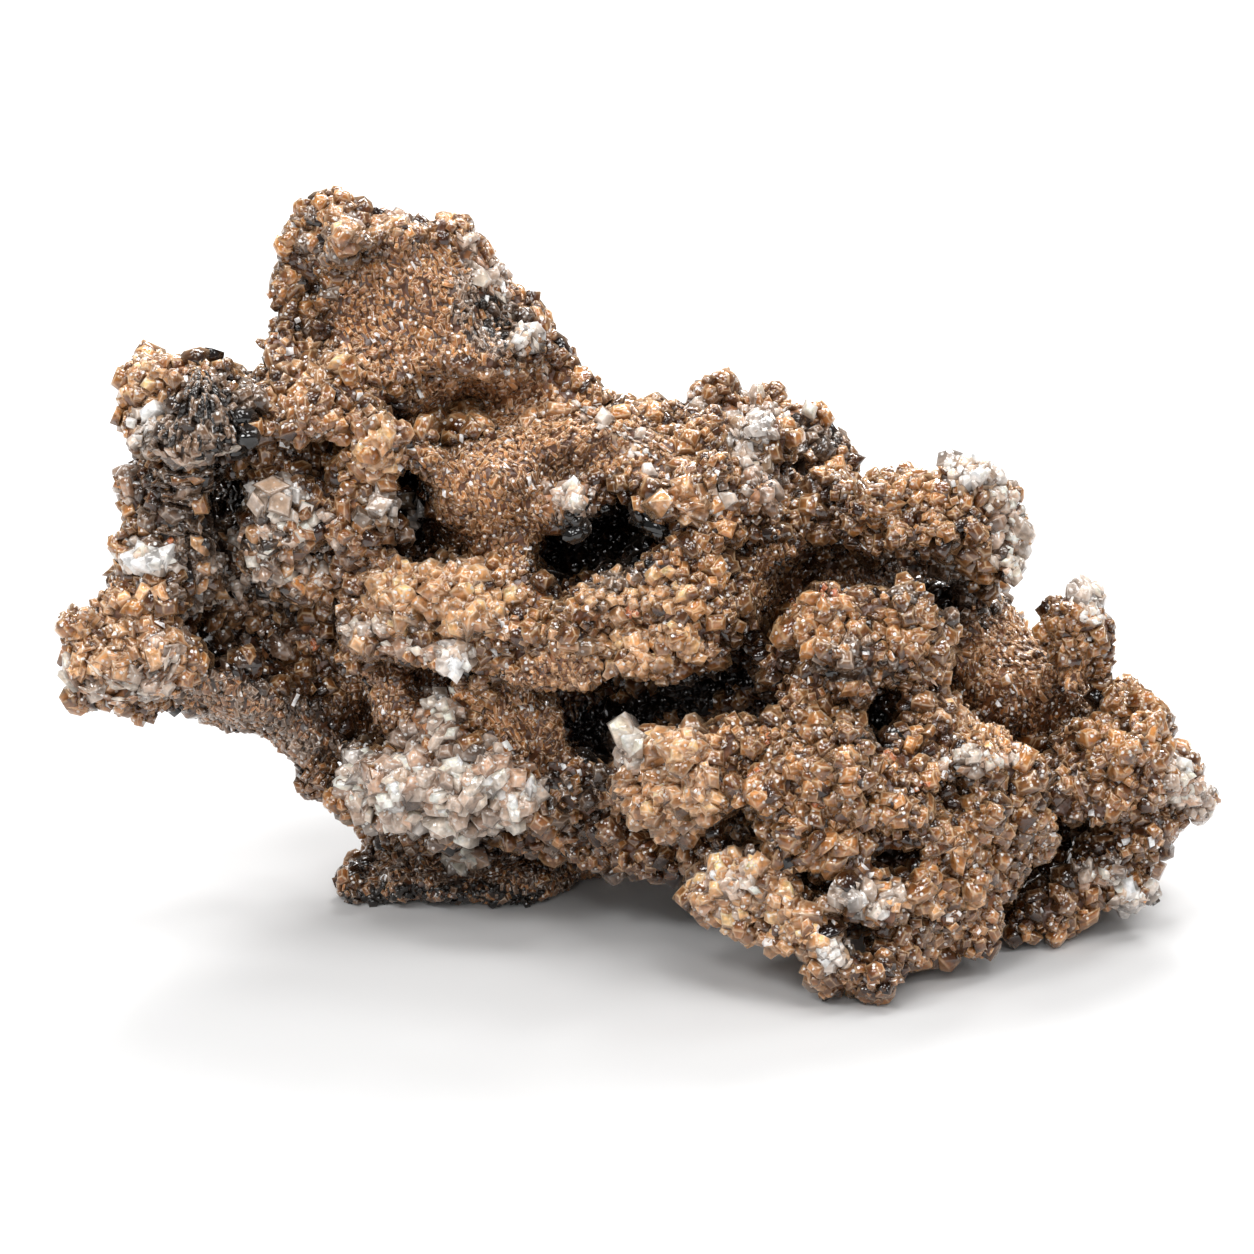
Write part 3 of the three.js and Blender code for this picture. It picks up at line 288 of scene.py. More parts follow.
ZONES = (
    # peak
    Zone(BROWN, -21, 31, 10, 9, 0, 0.45),
    Zone(SMOKY, -31.5, 36, 3.4, 7, 0, 0.3),
    Zone(SMOKY, -14, 31, 3, 5, 30, 0.8),
    Zone(BLACK, -13.2, 30.8, 1.2, 3.4, 30, 0.3),
    # painted light: this band lies in shade under the peak, and tan paints it lighter
    Zone(TAN, -14, 22.4, 8, 3, 0, 0.9),
    Zone(PALE, -14, 35, 1.2, 4.6, 40, 0.7),
    Zone(WHITE, -10.4, 28.6, 1.6, 1.1, 20, 0.95),
    Zone(TAN, -31, 26.5, 4.6, 2.4, 0, 0.7),
    Zone(PALE, -24, 40.5, 5, 1, 0, 0.6),
    # left block
    Zone(SMOKY, -42, 20.8, 5.4, 4.2, 0, 0.8),
    Zone(BLACK, -42, 19.6, 4.6, 2.6, 0, 0.6),
    Zone(TAN, -46.6, 24.6, 3, 2.6, 0, 0.7),
    Zone(WHITE, -47.6, 19.6, 1.7, 2.2, 0, 0.8),
    Zone(SMOKY, -43.5, 12, 5, 7, 0, 0.7),
    Zone(PALE, -49.4, 13.6, 1.6, 2.4, 0, 0.4),
    Zone(WHITE, -47.4, 6.6, 3, 1.3, -22, 0.85),
    Zone(SMOKY, -37, 4, 10, 8, -25, 0.2),
    Zone(PALE, -38, 3, 7, 5, -25, 0.45),
    Zone(TAN, -50, -2, 6, 5.4, -10, 0.85),
    Zone(PALE, -49, -5.6, 6.4, 1.4, 4, 0.8),
    Zone(PALE, -45.4, -2.4, 1.6, 2.8, 20, 0.7),
    Zone(BROWN, -36, -10, 9, 4.4, -28, 0.9),
    Zone(SMOKY, -36, -10, 9, 4.6, -28, 0.55),
    # ledge and clear cluster
    Zone(BROWN, -31.5, 21, 5, 3, 0, 0.45),
    Zone(BROWN, -32.5, 16.8, 5, 1.2, 0, 0.8),
    Zone(TAN, -24.6, 18, 3.2, 3.6, 0, 0.6),
    Zone(PALE, -30, 8, 9, 6, -10, 0.22),
    Zone(BROWN, -30, 8, 9, 6, -10, 0.55),
    Zone(WHITE, -34.6, 13.1, 3.2, 1.5, -4, 0.95),
    Zone(WHITE, -24.5, 12.2, 1.9, 1.8, 0, 0.9),
    Zone(PALE, -37.4, 8.4, 3.6, 2.6, 0, 0.7),
    Zone(WHITE, -20.9, 11.2, 1.1, 1.8, 0, 0.9),
    Zone(BLACK, -21.2, 11.6, 1.9, 3.6, 0, 0.6),
    # cheek and pale cluster under it
    Zone(TAN, -18, 2.2, 8.6, 5.4, 0, 0.8),
    Zone(PALE, -22.6, -1.4, 6.4, 1.5, -14, 0.75),
    Zone(WHITE, -16.8, -3, 1.9, 1.7, 0, 0.85),
    Zone(BROWN, -23, -6.6, 6, 4.4, 0, 0.5),
    Zone(WHITE, -23.6, -16, 4.6, 4, 0, 0.75),
    Zone(PALE, -19, -11, 3.4, 3.6, 20, 0.85),
    Zone(PALE, -15.4, -16.4, 7, 4.4, 0, 0.8),
    Zone(WHITE, -12, -15, 4, 2.6, -20, 0.6),
    Zone(BROWN, -9, -9, 5, 6, 0, 0.5),
    Zone(BROWN, -3.5, -18, 5, 4.6, 0, 0.6),
    Zone(SMOKY, -4.5, -18.5, 4.4, 4.6, 0, 0.5),
    # foot
    Zone(BROWN, -16, -25, 14, 4.4, 0, 0.75),
    Zone(SMOKY, -16, -25, 14, 4.4, 0, 0.5),
    Zone(BLACK, -17, -27.4, 12, 2, 0, 0.6),
    # saddle, hollows and bridge
    Zone(BROWN, -6, 17.4, 12, 4.4, -8, 0.3),
    # the white along the saddle's skyline is a painted highlight
    Zone(WHITE, -1.6, 19.8, 5, 0.9, -30, 0.45),
    Zone(WHITE, 0.6, 17.4, 4, 0.8, -38, 0.3),
    Zone(PALE, -5.8, 12.6, 2.6, 1.8, 0, 0.85),
    Zone(PALE, 7.6, 12.4, 2.2, 2, 0, 0.5),
    # the black in the two hollows is painted shade
    Zone(BLACK, -2.6, 8.4, 6.2, 3.4, 24, 1.0),
    Zone(BLACK, 4, -7.4, 9, 2.4, 20, 1.0),
    Zone(BLACK, -2.6, -10.4, 2.8, 3, 0, 1.0),
    Zone(SMOKY, 0, 4.6, 4.6, 1.8, 18, 0.7),
    Zone(TAN, 0, -1.6, 10, 4.4, 12, 0.45),
    Zone(WHITE, 12.3, 18.6, 2.2, 3, 0, 0.95),
    Zone(PALE, 13.6, 14, 2.4, 3, 0, 0.6),
    # far ledge
    Zone(PALE, 12, 20, 7, 3, -10, 0.6, True),
    Zone(SMOKY, 18, 17, 5, 3, -40, 0.6, True),
    # arm, knob and slope
    Zone(WHITE, 34, 15.6, 3.6, 2, -14, 0.9),
    Zone(PALE, 38, 9, 2, 5, 0, 0.75),
    Zone(BROWN, 28, 10, 7, 4, 0, 0.35),
    Zone(SMOKY, 31, 3.6, 6, 3, -20, 0.6),
    Zone(TAN, 37, -6, 5.4, 5, 20, 0.3),
    Zone(TAN, 38, -6, 8, 7, 0, 0.3),
    # the white on the knob's top is a painted highlight
    Zone(WHITE, 46.2, 2.4, 2, 2.6, -20, 0.85),
    Zone(BROWN, 23, 5.4, 4, 1.4, -10, 0.8),
    # right lobe
    Zone(BROWN, 49, -14, 8, 7, 0, 0.45),
    Zone(PALE, 56, -17, 2.2, 1.8, 0, 0.8),
    Zone(WHITE, 54.6, -13.8, 1.2, 2, 0, 0.5),
    # painted light: this band lies in shade under the lobe, and tan paints it lighter
    Zone(TAN, 43.6, -21.4, 4.6, 1.7, 10, 0.8),
    Zone(PALE, 47.4, -24.4, 2.8, 2, 0, 0.55),
    Zone(WHITE, 50.2, -26.6, 2.2, 1.5, 0, 0.7),
    # rosette and front mass
    Zone(TAN, 20, 1, 4, 3.4, 20, 0.25),
    Zone(BROWN, 24, -1.5, 5.5, 4.4, 0, 0.45),
    Zone(SMOKY, 23, -3.6, 4.4, 2.4, 0, 0.55),
    Zone(BROWN, 24.6, -10, 3, 3.4, 0, 0.8),
    Zone(BLACK, 24.7, -9.8, 1.7, 2.6, 0, 0.9),
    Zone(TAN, 4.4, -15.4, 6, 6.4, 0, 0.9),
    Zone(PALE, 0.6, -12.2, 2.6, 2.8, 0, 0.9),
    Zone(TAN, 14, -28, 9.6, 6, -30, 0.85),
    Zone(PALE, 11, -26, 5.4, 3.6, -30, 0.4),
    Zone(WHITE, 24.2, -26.6, 3.8, 1.7, -10, 0.75),
    Zone(WHITE, 20.6, -32.4, 1.6, 2, 0, 0.8),
    Zone(BROWN, 25.4, -34.4, 3.2, 3.4, 0, 0.85),
    Zone(PALE, 35, -13.2, 4.6, 1.1, 0, 0.5),
    Zone(BROWN, 33, -16.6, 2.6, 2, 0, 0.7),
    Zone(TAN, 32, -26, 6, 4.4, 0, 0.35),
)

# Patches of fine sugary skin, as across, rise, half width, half height and lean.
FINE_PATCHES = tuple(
    Zone(HONEY, *patch, share=1.0)
    for patch in (
        (-20, 31.5, 9, 7.4, 0),
        (-14, 22.6, 8, 3, 0),
        (-13, 13.6, 7, 8, 30),
        (-4, 18, 10, 3, -6),
        (39, -5, 7.4, 7.4, 0),
        (-36, -10, 9, 4, -28),
        (-23, -7, 6, 4, 0),
        (-8, -8, 6, 5, 0),
        (-14, -25.6, 13, 3.4, 0),
        (24, 5, 5, 1.6, 0),
        (15, 4, 3, 5, 0),
    )
)


@dataclass(frozen=True)
class Tints:
    """The colours that one habit's crystals take, and its stone's.

    Attributes:
        low: The darkest crystal, linear red, green and blue.
        high: The lightest crystal.
        stone: The stone under the crystals.
        clear: Whether the crystals are clear.
    """

    low: tuple[float, float, float]
    high: tuple[float, float, float]
    stone: tuple[float, float, float]
    clear: bool = False


TINTS = {
    HONEY: Tints((0.08, 0.019, 0.003), (0.51, 0.188, 0.042), (0.12, 0.034, 0.007)),
    TAN: Tints((0.28, 0.082, 0.015), (0.95, 0.485, 0.195), (0.30, 0.10, 0.024)),
    PALE: Tints((0.48, 0.19, 0.06), (1.0, 0.88, 0.74), (0.46, 0.19, 0.066), True),
    WHITE: Tints((0.62, 0.37, 0.20), (1.0, 0.96, 0.92), (0.70, 0.46, 0.28), True),
    SMOKY: Tints((0.036, 0.014, 0.006), (0.23, 0.12, 0.062), (0.03, 0.014, 0.007)),
    BROWN: Tints((0.08, 0.021, 0.004), (0.38, 0.138, 0.037), (0.08, 0.025, 0.006)),
    RUST: Tints((0.42, 0.07, 0.012), (0.85, 0.20, 0.045), (0.30, 0.05, 0.01)),
    BLACK: Tints((0.004, 0.002, 0.001), (0.015, 0.009, 0.006), (0.002, 0.001, 0.001)),
}


@dataclass(frozen=True)
class Mood:
    """Slow noise under the zones that gives patches of the skin another habit than honey.

    Attributes:
        habit: The habit that grows in the patches.
        length: The size of the noise's cells in millimetres.
        seed: Which of many patterns it has.
        edge: What the noise has to be over, or under where this is negative.
        share: How many of the patches' crystals have the habit.
        hidden: Whether only the skin that isn't seen has such patches.
    """

    habit: Habit
    length: float
    seed: int
    edge: float
    share: float
    hidden: bool

    def holds(self, points: Array, lot: Array) -> Array:
        """Says which points have the habit.

        Args:
            points: An (n, 3) array in millimetres.
            lot: A value from 0 to 1 for each point.

        Returns:
            A mask.
        """
        noise = drift(points, self.length, self.seed)
        found = noise > self.edge if self.edge > 0 else noise < self.edge
        return found & (lot < self.share) & ((points[:, 1] > HIDDEN_DEPTH) | (not self.hidden))


MOODS = (
    Mood(TAN, 7.0, 91, 0.42, 0.8, True),
    Mood(BROWN, 7.0, 91, -0.34, 0.45, False),
    Mood(PALE, 5.0, 92, 0.5, 0.7, True),
    Mood(SMOKY, 5.0, 92, -0.5, 0.7, True),
)


class Garden:
    """Says which habit grows where."""

    def __init__(self, standpoint: Standpoint) -> None:
        """Keeps the habits' colours in order.

        Args:
            standpoint: Where the zones are laid out from.
        """
        self.standpoint = standpoint
        self.habits = list(Habit)
        tints = [TINTS[habit] for habit in self.habits]
        self.low = np.array([tint.low for tint in tints])
        self.high = np.array([tint.high for tint in tints])
        self.stone = np.array([tint.stone for tint in tints])
        self.clear = np.array([tint.clear for tint in tints])

    def habits_at(self, points: Array, seed: int) -> Array:
        """Picks a habit for each point.

        Args:
            points: An (n, 3) array in millimetres.
            seed: The seed of the picks.

        Returns:
            Each point's place in the list of habits.
        """
        rng = np.random.default_rng(seed)
        across, rise = self.standpoint.flatten(points)
        picked = np.full(len(points), self.habits.index(HONEY))
        lot = rng.random(len(points))
        for mood in MOODS:
            picked[mood.holds(points, lot)] = self.habits.index(mood.habit)
        for zone in ZONES:
            taken = rng.random(len(points)) < zone.weight(across, rise, points[:, 1])
            picked[taken] = self.habits.index(zone.habit)
        return picked

    def fineness(self, points: Array) -> Array:
        """Says how fine the skin is.

        Args:
            points: An (n, 3) array in millimetres.

        Returns:
            From 0 to 1 for each point.
        """
        across, rise = self.standpoint.flatten(points)
        fine = np.zeros(len(points))
        for patch in FINE_PATCHES:
            fine = np.maximum(fine, patch.weight(across, rise, points[:, 1]))
        return fine


# Meshes


def quad_mesh(name: str, corners: Array, quads: Array) -> bpy.types.Mesh:
    """Makes a smooth-shaded mesh of four-sided faces from arrays.

    Args:
        name: The mesh's name.
        corners: An (n, 3) array in metres.
        quads: An (m, 4) array of corner numbers.

    Returns:
        The mesh, with a map that gives each face its own square.
    """
    mesh = bpy.data.meshes.new(name)
    mesh.vertices.add(len(corners))
    mesh.vertices.foreach_set("co", corners.astype(np.float32).ravel())
    mesh.loops.add(quads.size)
    mesh.loops.foreach_set("vertex_index", quads.astype(np.int32).ravel())
    mesh.polygons.add(len(quads))
    mesh.polygons.foreach_set("loop_start", np.arange(0, quads.size, 4, dtype=np.int32))
    mesh.polygons.foreach_set("use_smooth", np.ones(len(quads), bool))
    mesh.update(calc_edges=True)
    spread_map(mesh)
    return mesh


# The corners of a face's square in a map, and how far a square keeps from its neighbours.
SQUARE = np.array([[0, 0], [1, 0], [1, 1], [0, 1]], float)
MAP_INSET = 0.1


def spread_map(mesh: bpy.types.Mesh) -> None:
    """Gives each four-sided face a square of its own in the mesh's map.

    Args:
        mesh: The mesh.
    """
    count = len(mesh.polygons)
    side = math.ceil(math.sqrt(count))
    number = np.arange(count)
    low = np.stack([number % side, number // side], axis=1)[:, None, :]
    square = blend(MAP_INSET, 1 - MAP_INSET, SQUARE)
    layer = mesh.uv_layers.new(name="OFBake")
    layer.data.foreach_set("uv", ((low + square) / side).astype(np.float32).ravel())


def facet_map(mesh: bpy.types.Mesh) -> None:
    """Gives each four-sided face the whole of a second map, so that its rim can be told."""
    layer = mesh.uv_layers.new(name="facet")
    layer.data.foreach_set("uv", np.tile(SQUARE.astype(np.float32), (len(mesh.polygons), 1)).ravel())


def paint(mesh: bpy.types.Mesh, colours: Array) -> None:
    """Writes the tint of a mesh.

    Args:
        mesh: The mesh.
        colours: A linear colour for each corner of the mesh, or for each corner of each face.
    """
    domain = "POINT" if len(colours) == len(mesh.vertices) else "CORNER"
    layer = mesh.color_attributes.new("tint", "FLOAT_COLOR", domain)
    whole = np.concatenate([colours, np.ones((len(colours), 1))], axis=1)
    layer.data.foreach_set("color", whole.astype(np.float32).ravel())


def place(mesh: bpy.types.Mesh, material: bpy.types.Material, slot: Slot) -> bpy.types.Object:
    """Puts a mesh in the scene as a piece of the cluster.

    Args:
        mesh: The mesh.
        material: What it is made of.
        slot: The record's slot for it, which is not used.

    Returns:
        The piece.
    """
    mesh.materials.append(material)
    piece = bpy.data.objects.new(mesh.name, mesh)
    bpy.context.scene.collection.objects.link(piece)
    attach(piece, BODY)
    log.info("%s: %d triangles", piece.name, 2 * len(mesh.polygons))
    return piece


# Lots thrown for each place where a crystal is to grow, and the most cells to a side of the skin's box.
THROWS = 5
MOST_CELLS = 4096


@dataclass
class Skin:
    """A surface that crystals grow on, in millimetres.

    Attributes:
        corners: Its corners.
        triangles: Its triangles' corner numbers.
        normals: The outward direction at each corner.
        shade: How open each corner's place is, from 0 in a closed hollow to 1.
    """

    corners: Array
    triangles: Array
    normals: Array
    shade: Array

    def areas(self) -> Array:
        """Gives each triangle's area."""
        a, b, c = (self.corners[self.triangles[:, i]] for i in range(3))
        return np.linalg.norm(np.cross(b - a, c - a), axis=1) / 2

    def scatter(self, spacing: float, seed: int) -> tuple[Array, Array, Array]:
        """Spreads places evenly over the surface.

        Args:
            spacing: How far apart they are.
            seed: The seed of their places.

        Returns:
            The places, the outward direction and the shade at each.
        """
        rng = np.random.default_rng(seed)
        areas = self.areas()
        count = int(areas.sum() / spacing**2 * THROWS)
        owner = rng.choice(len(areas), count, p=areas / areas.sum())
        share = rng.random((count, 2))
        flip = share.sum(axis=1) > 1
        share[flip] = 1 - share[flip]
        weights = np.stack([1 - share.sum(axis=1), share[:, 0], share[:, 1]], axis=1)[..., None]
        corner = self.triangles[owner]
        points = (self.corners[corner] * weights).sum(axis=1)
        normals = (self.normals[corner] * weights).sum(axis=1)
        normals /= np.linalg.norm(normals, axis=1)[:, None]
        shade = (self.shade[corner] * weights[..., 0]).sum(axis=1)
        cells = np.floor(points / spacing).astype(np.int64)
        _, kept = np.unique(cells @ np.array([1, MOST_CELLS, MOST_CELLS**2]), return_index=True)
        return points[kept], normals[kept], shade[kept]


# Crystal forms


@dataclass(frozen=True)
class Form:
    """A crystal's shape about its middle, with its long axis along z.

    Attributes:
        rings: For each ring of four corners its height, half width and half depth.
        diamond: Whether the rings are diamonds, and not rectangles.
    """

    rings: tuple[tuple[float, float, float], ...]
    diamond: bool = True

    def corners(self) -> Array:
        """Gives the corners.

        Returns:
            An (n, 3) array, ring by ring from the bottom.
        """
        if self.diamond:
            way = ((1, 0), (0, 1), (-1, 0), (0, -1))
        else:
            way = ((1, 1), (-1, 1), (-1, -1), (1, -1))
        rings = [(x * wide, y * deep, high) for high, wide, deep in self.rings for x, y in way]
        return np.array(rings, float)

    def quads(self) -> Array:
        """Gives the faces, all facing out.

        Returns:
            An (m, 4) array of corner numbers.
        """
        faces = [(3, 2, 1, 0)]
        for ring in range(len(self.rings) - 1):
            low = 4 * ring
            sides = ((low + i, low + (i + 1) % 4) for i in range(4))
            faces += [(a, b, b + 4, a + 4) for a, b in sides]
        top = 4 * (len(self.rings) - 1)
        faces.append((top, top + 1, top + 2, top + 3))
        return np.array(faces)


GRAIN = Form(((-0.7, 0.85, 0.8), (0.75, 0.72, 0.62)), diamond=False)
BLOCK = Form(((-0.85, 0.9, 0.8), (0.35, 1.0, 0.86), (0.86, 0.5, 0.42)), diamond=False)
PRISM = Form(((-1.0, 0.8, 0.66), (0.2, 1.0, 0.82), (0.9, 0.55, 0.36)))
PLATE = Form(((-0.3, 0.8, 0.62), (0.0, 1.0, 0.82), (0.3, 0.8, 0.64)))
SPIRE = Form(((-1.2, 0.8, 0.7), (0.2, 0.86, 0.72), (1.5, 0.12, 0.08)), diamond=False)


# How far crystals with a heading stray from it.
HEADING_STRAY = 0.45


def turns(normals: Array, tilt: float, rng: np.random.Generator, heading: Array | None = None) -> Array:
    """Turns crystals outward with a random roll and lean.

    Args:
        normals: The outward direction at each.
        tilt: How far they lean from it, as a spread in radians.
        rng: Where the lots come from.
        heading: What their first axis points along, or none for a random roll.

    Returns:
        An (n, 3, 3) array whose columns are each crystal's axes.
    """
    z = normals + rng.normal(0, tilt, normals.shape)
    z /= np.linalg.norm(z, axis=1)[:, None]
    x = np.cross(z, rng.normal(size=z.shape))
    if heading is not None:
        way = heading + HEADING_STRAY * x
        x = way - z * (way * z).sum(axis=1)[:, None]
    x /= np.linalg.norm(x, axis=1)[:, None]
    return np.stack([x, np.cross(z, x), z], axis=2)


# How light a face is at least, how much facing up adds as painted light from above, and how much its lot
# adds.
FACE_LEAST = 0.8
FACE_UPWARD = 0.3
FACE_LOT = 0.32

# Where a crystal's root ends and its tip begins along its axis, and how deep and how light its colour is
# painted there: painted shade at the root, painted light at the tip.
ROOT_END, TIP_START = -0.45, 0.85
ROOT_DEPTH, TIP_DEPTH = 1.4, 0.9
ROOT_LIGHT, TIP_LIGHT = 0.3, 1.25

# How white a painted glint is, and how far down a face with one may look.
GLINT_WHITE = 0.75
GLINT_DOWNWARD = -0.1

# The seed of the faces' lots.
FACE_SEED = 77


@dataclass
class Crop:
    """Crystals of one form that are ready to be made.

    Attributes:
        form: Their shape.
        centres: Their middles in millimetres.
        axes: Their axes.
        sizes: Their scales along those axes.
        tints: Their colours.
        glint: The share of their upper faces that are painted white as a glint.
        least_glint: How light a crystal has to be for such a face.
        greatest_glint: How small, in millimetres.
    """

    form: Form
    centres: Array
    axes: Array
    sizes: Array
    tints: Array
    glint: float = 0.07
    least_glint: float = 0.03
    greatest_glint: float = 0.6

    def picked(self, mask: Array) -> "Crop":
        """Gives only the crystals of a mask."""
        kept = (self.centres[mask], self.axes[mask], self.sizes[mask], self.tints[mask])
        return Crop(self.form, *kept, glint=self.glint)

    def arrays(self, low: Array, high: Array, rng: np.random.Generator) -> tuple[Array, Array, Array]:
        """Makes corners, faces and colours, kept inside a box.

        Args:
            low: The box's lowest corner in millimetres.
            high: The box's highest corner.
            rng: Where the faces' lots come from.

        Returns:
            The corners in metres, the faces, and the colour at each corner of each face.
        """
        form = self.form.corners()
        local = form[None] * self.sizes[:, None, :]
        corners = np.einsum("nij,nkj->nki", self.axes, local) + self.centres[:, None, :]
        # what would stand out of the box is left out, and what reaches below it is cut flat
        inside = (corners < high).all(axis=(1, 2)) & (corners[..., :2] > low[:2]).all(axis=(1, 2))
        if not inside.all():
            return self.picked(inside).arrays(low, high, rng)
        corners = np.maximum(corners.reshape(-1, 3), low)
        quads = self.form.quads()
        tints = self.face_tints(form[quads], rng)
        quads = quads[None] + (np.arange(len(local)) * len(form))[:, None, None]
        return corners * MM, quads.reshape(-1, 4), tints.reshape(-1, 3)

    def face_tints(self, faces: Array, rng: np.random.Generator) -> Array:
        """Gives each corner of each face its colour: painted shade darker and deeper at the root, painted
        light at the tip and on faces turned up, and painted glints.

        Args:
            faces: The corners of the form's faces, a (k, 4, 3) array.
            rng: Where the faces' lots come from.

        Returns:
            An (n, k, 4, 3) array.
        """
        way = np.einsum("nij,kj->nki", self.axes, faces.mean(axis=1))
        way /= np.linalg.norm(way, axis=2)[..., None]
        upward = way[..., 2]
        lot = rng.random(upward.shape)
        lightness = FACE_LEAST + FACE_UPWARD * upward + FACE_LOT * rng.random(lot.shape)
        tints = self.tints[:, None, :] * lightness[..., None]
        light = self.tints.mean(axis=1)[:, None] > self.least_glint
        small = self.sizes.mean(axis=1)[:, None] < self.greatest_glint
        glint = (lot < self.glint) & (upward > GLINT_DOWNWARD) & light & small
        height = np.clip((faces[..., 2] - ROOT_END) / (TIP_START - ROOT_END), 0, 1)[None, :, :, None]
        tints = tints[:, :, None, :] ** blend(ROOT_DEPTH, TIP_DEPTH, height)
        tints *= blend(ROOT_LIGHT, TIP_LIGHT, height)
        tints[glint] = blend(tints[glint], 1, GLINT_WHITE)
        return np.clip(tints, 0, 1)


def joined(crops: list[Crop], low: Array, high: Array) -> tuple[Array, Array, Array]:
    """Joins crops into one mesh's worth.

    Args:
        crops: The crops.
        low: The lowest corner of the box that they stay in.
        high: Its highest corner.

    Returns:
        The corners, the faces and the colours.
    """
    rng = np.random.default_rng(FACE_SEED)
    corners, faces, colours = [], [], []
    start = 0
    for crop in crops:
        c, q, t = crop.arrays(low, high, rng)
        corners.append(c)
        faces.append(q + start)
        colours.append(t)
        start += len(c)
    return np.concatenate(corners), np.concatenate(faces), np.concatenate(colours)


# Materials


class Wiring:
    """Adds shader nodes to a tree, each with its links in one call."""

    def __init__(self, tree: bpy.types.NodeTree) -> None:
        """Keeps the tree."""
        self.tree = tree

    def add(self, kind: str, inputs: dict | None = None, **settings: object) -> bpy.types.Node:
        """Adds a node.

        Args:
            kind: Its type, without the words ShaderNode in front.
            inputs: For an input's name or number, a value or the output that feeds it.
            settings: The node's own properties.

        Returns:
            The node.
        """
        node = self.tree.nodes.new(f"ShaderNode{kind}")
        for name, value in settings.items():
            setattr(node, name, value)
        for place, value in (inputs or {}).items():
            self.feed(value, node.inputs[place])
        return node

    def feed(self, value: object, socket: bpy.types.NodeSocket) -> None:
        """Links an output to an input, or writes a value in it.

        Args:
            value: The output or the value.
            socket: The input.
        """
        if isinstance(value, bpy.types.NodeSocket):
            self.tree.links.new(value, socket)
        else:
            socket.default_value = value

    def value(self, operation: str, *terms: object) -> bpy.types.NodeSocket:
        """Works out a number from one to three terms."""
        return self.add("Math", dict(enumerate(terms)), operation=operation).outputs[0]

    def vector(self, operation: str, *terms: object) -> bpy.types.NodeSocket:
        """Works out a vector from one or two terms."""
        return self.add("VectorMath", dict(enumerate(terms)), operation=operation).outputs[0]

    def scaled(self, vector: bpy.types.NodeSocket, scale: bpy.types.NodeSocket) -> bpy.types.NodeSocket:
        """Scales a vector or a colour."""
        return self.add("VectorMath", {0: vector, "Scale": scale}, operation="SCALE").outputs[0]

    def spread(
        self, value: bpy.types.NodeSocket, low: float, high: float, first: float = 0.0, last: float = 1.0
    ) -> bpy.types.NodeSocket:
        """Spreads a value from between low and high to between first and last, and holds it there."""
        ends = {"From Min": low, "From Max": high, "To Min": first, "To Max": last}
        return self.add("MapRange", {"Value": value, **ends}).outputs["Result"]

    def blended(self, share: bpy.types.NodeSocket, low: object, high: object) -> bpy.types.NodeSocket:
        """Blends two colours."""
        return self.add("Mix", {0: share, 6: low, 7: high}, data_type="RGBA").outputs[2]


